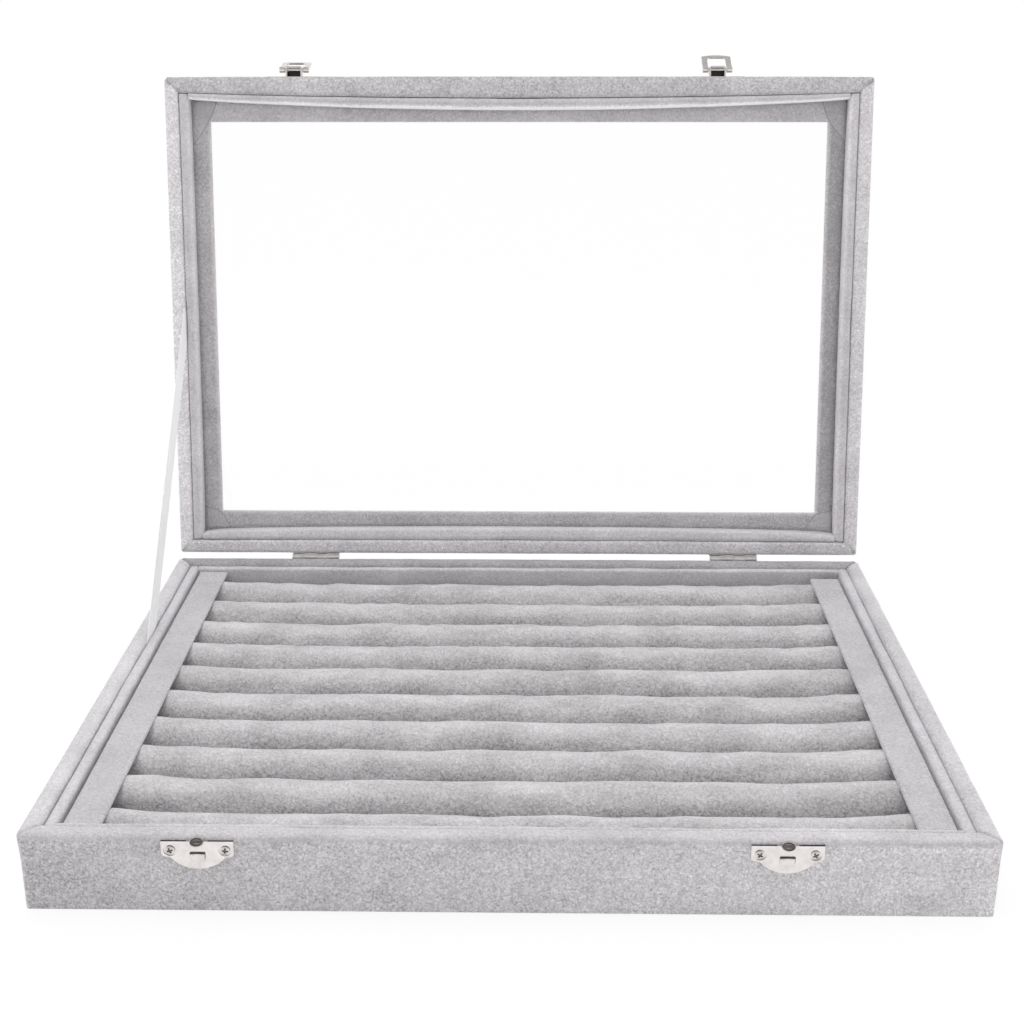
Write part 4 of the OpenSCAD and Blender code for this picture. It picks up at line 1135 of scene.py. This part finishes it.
def floor():
    """A plain white floor. The camera sees most of it as bare white, with the box's
    soft shadow kept."""
    mesh = bpy.data.meshes.new("floor")
    reach = 30.0
    mesh.from_pydata([(-reach, -reach, 0), (reach, -reach, 0), (reach, reach, 0),
                      (-reach, reach, 0)], [], [(0, 1, 2, 3)])
    plane = new_object("floor", mesh)
    material, tree, shader, place = new_material("white floor")
    feed(tree, shader, {"Base Color": (0.9, 0.9, 0.9, 1), "Roughness": 0.9,
                        "Specular IOR Level": 0.0})
    # bare white far from the box, and nearly so beside it, where its shadow stays
    away = add_node(tree, "VectorMath", {0: place}, operation="LENGTH").outputs["Value"]
    far = calc(tree, "MINIMUM", line(tree, away, 0.7, 0.72), 1.0)
    share = calc(tree, "MULTIPLY", either_ray(tree, "Camera", "Transmission"), far)
    glossy = add_node(tree, "LightPath", {}).outputs["Is Glossy Ray"]
    white = add_node(tree, "Emission", {"Color": (1, 1, 1, 1)}).outputs["Emission"]
    show_surface(tree, mixed(tree, line(tree, glossy, 0.35, share), shader.outputs["BSDF"], white))
    mesh.materials.append(material)


def area_light(name, place, aim, size, power):
    """A square soft light at place, in metres, facing aim."""
    data = bpy.data.lights.new(name, "AREA")
    data.shape = "SQUARE"
    data.size = size
    data.energy = power
    light = new_object(name, data)
    light.rotation_euler = (Vector(place) - Vector(aim)).to_track_quat("Z", "Y").to_euler()
    light.location = place
    light.visible_glossy = light.visible_transmission = False


# Strength of the even fill, and how much stronger it is from straight behind
FILL, BACK_FILL = 0.58, 1.2


def white_world():
    """White to the camera and through glass. Cloth gets an even fill, stronger from
    behind, where the backdrop is. Metal sees white with a dim room above the camera."""
    world = bpy.data.worlds.new("studio")
    bpy.context.scene.world = world
    world.use_nodes = True
    tree = world.node_tree
    aim = add_node(tree, "SeparateXYZ", {
        "Vector": add_node(tree, "TexCoord", {}).outputs["Generated"]}).outputs
    behind = calc(tree, "MAXIMUM", aim["Y"], 0.0)
    front = line(tree, aim["Y"], -1.6, 0.1, clamp=True)
    raised = line(tree, aim["Z"], 2.0, 0.15, clamp=True)
    overhead = line(tree, aim["Z"], 4.0, -2.2, clamp=True)
    room = calc(tree, "MULTIPLY", calc(tree, "MULTIPLY", front, raised), 0.45)
    dim = calc(tree, "MAXIMUM", room, calc(tree, "MULTIPLY", overhead, 0.5))
    fill, gloss, seen = (
        add_node(tree, "Background", {"Color": (1, 1, 1, 1), "Strength": strength}).outputs[0]
        for strength in (line(tree, behind, BACK_FILL, FILL), line(tree, dim, -0.88, 1.0), 1.0))
    glossy = add_node(tree, "LightPath", {}).outputs["Is Glossy Ray"]
    show_surface(tree, mixed(tree, either_ray(tree, "Camera", "Transmission"),
                             mixed(tree, glossy, fill, gloss), seen))


floor()
white_world()
area_light("top softbox", (-0.25, -0.15, 1.35), (0, 0.02, 0.03), 1.0, 9.1)
area_light("right softbox", (1.5, 0.1, 0.5), (0, 0.05, 0.1), 0.8, 3.2)
area_light("front softbox", (0.55, -1.6, 0.75), (0, 0, 0.1), 1.2, 3.6)

# The photograph's view: place of the lens in millimetres, its turn in degrees and its
# focal length and optical centre in pixels of a 1024-pixel frame
LENS_PLACE = np.array([10.18, -540.81, 328.50])
LENS_YAW, LENS_PITCH, LENS_ROLL = -0.896, 18.716, -0.095
LENS_FOCAL_PX, LENS_CENTRE_PX = 1395.2, (516.9, 426.2)
IMAGE_PX, SENSOR_MM = 1024, 36.0

camera_data = bpy.data.cameras.new("camera")
camera_data.sensor_width = SENSOR_MM
camera_data.lens = LENS_FOCAL_PX / IMAGE_PX * SENSOR_MM
camera_data.shift_x = (IMAGE_PX / 2 - LENS_CENTRE_PX[0]) / IMAGE_PX
camera_data.shift_y = (LENS_CENTRE_PX[1] - IMAGE_PX / 2) / IMAGE_PX
camera_data.clip_start = 0.01
camera_data.clip_end = 100
camera = new_object("camera", camera_data)
yaw, pitch, roll = (math.radians(a) for a in (LENS_YAW, LENS_PITCH, LENS_ROLL))
forward = np.array([math.sin(yaw) * math.cos(pitch), math.cos(yaw) * math.cos(pitch),
                    -math.sin(pitch)])
right = np.array([math.cos(yaw), -math.sin(yaw), 0.0])
above = np.cross(right, forward)
right, above = (right * math.cos(roll) + above * math.sin(roll),
                above * math.cos(roll) - right * math.sin(roll))
turn = Matrix([[right[k], above[k], -forward[k]] for k in range(3)]).to_4x4()
camera.matrix_world = Matrix.Translation(LENS_PLACE * MM) @ turn
bpy.context.scene.camera = camera
bpy.context.scene.view_settings.view_transform = "Standard"
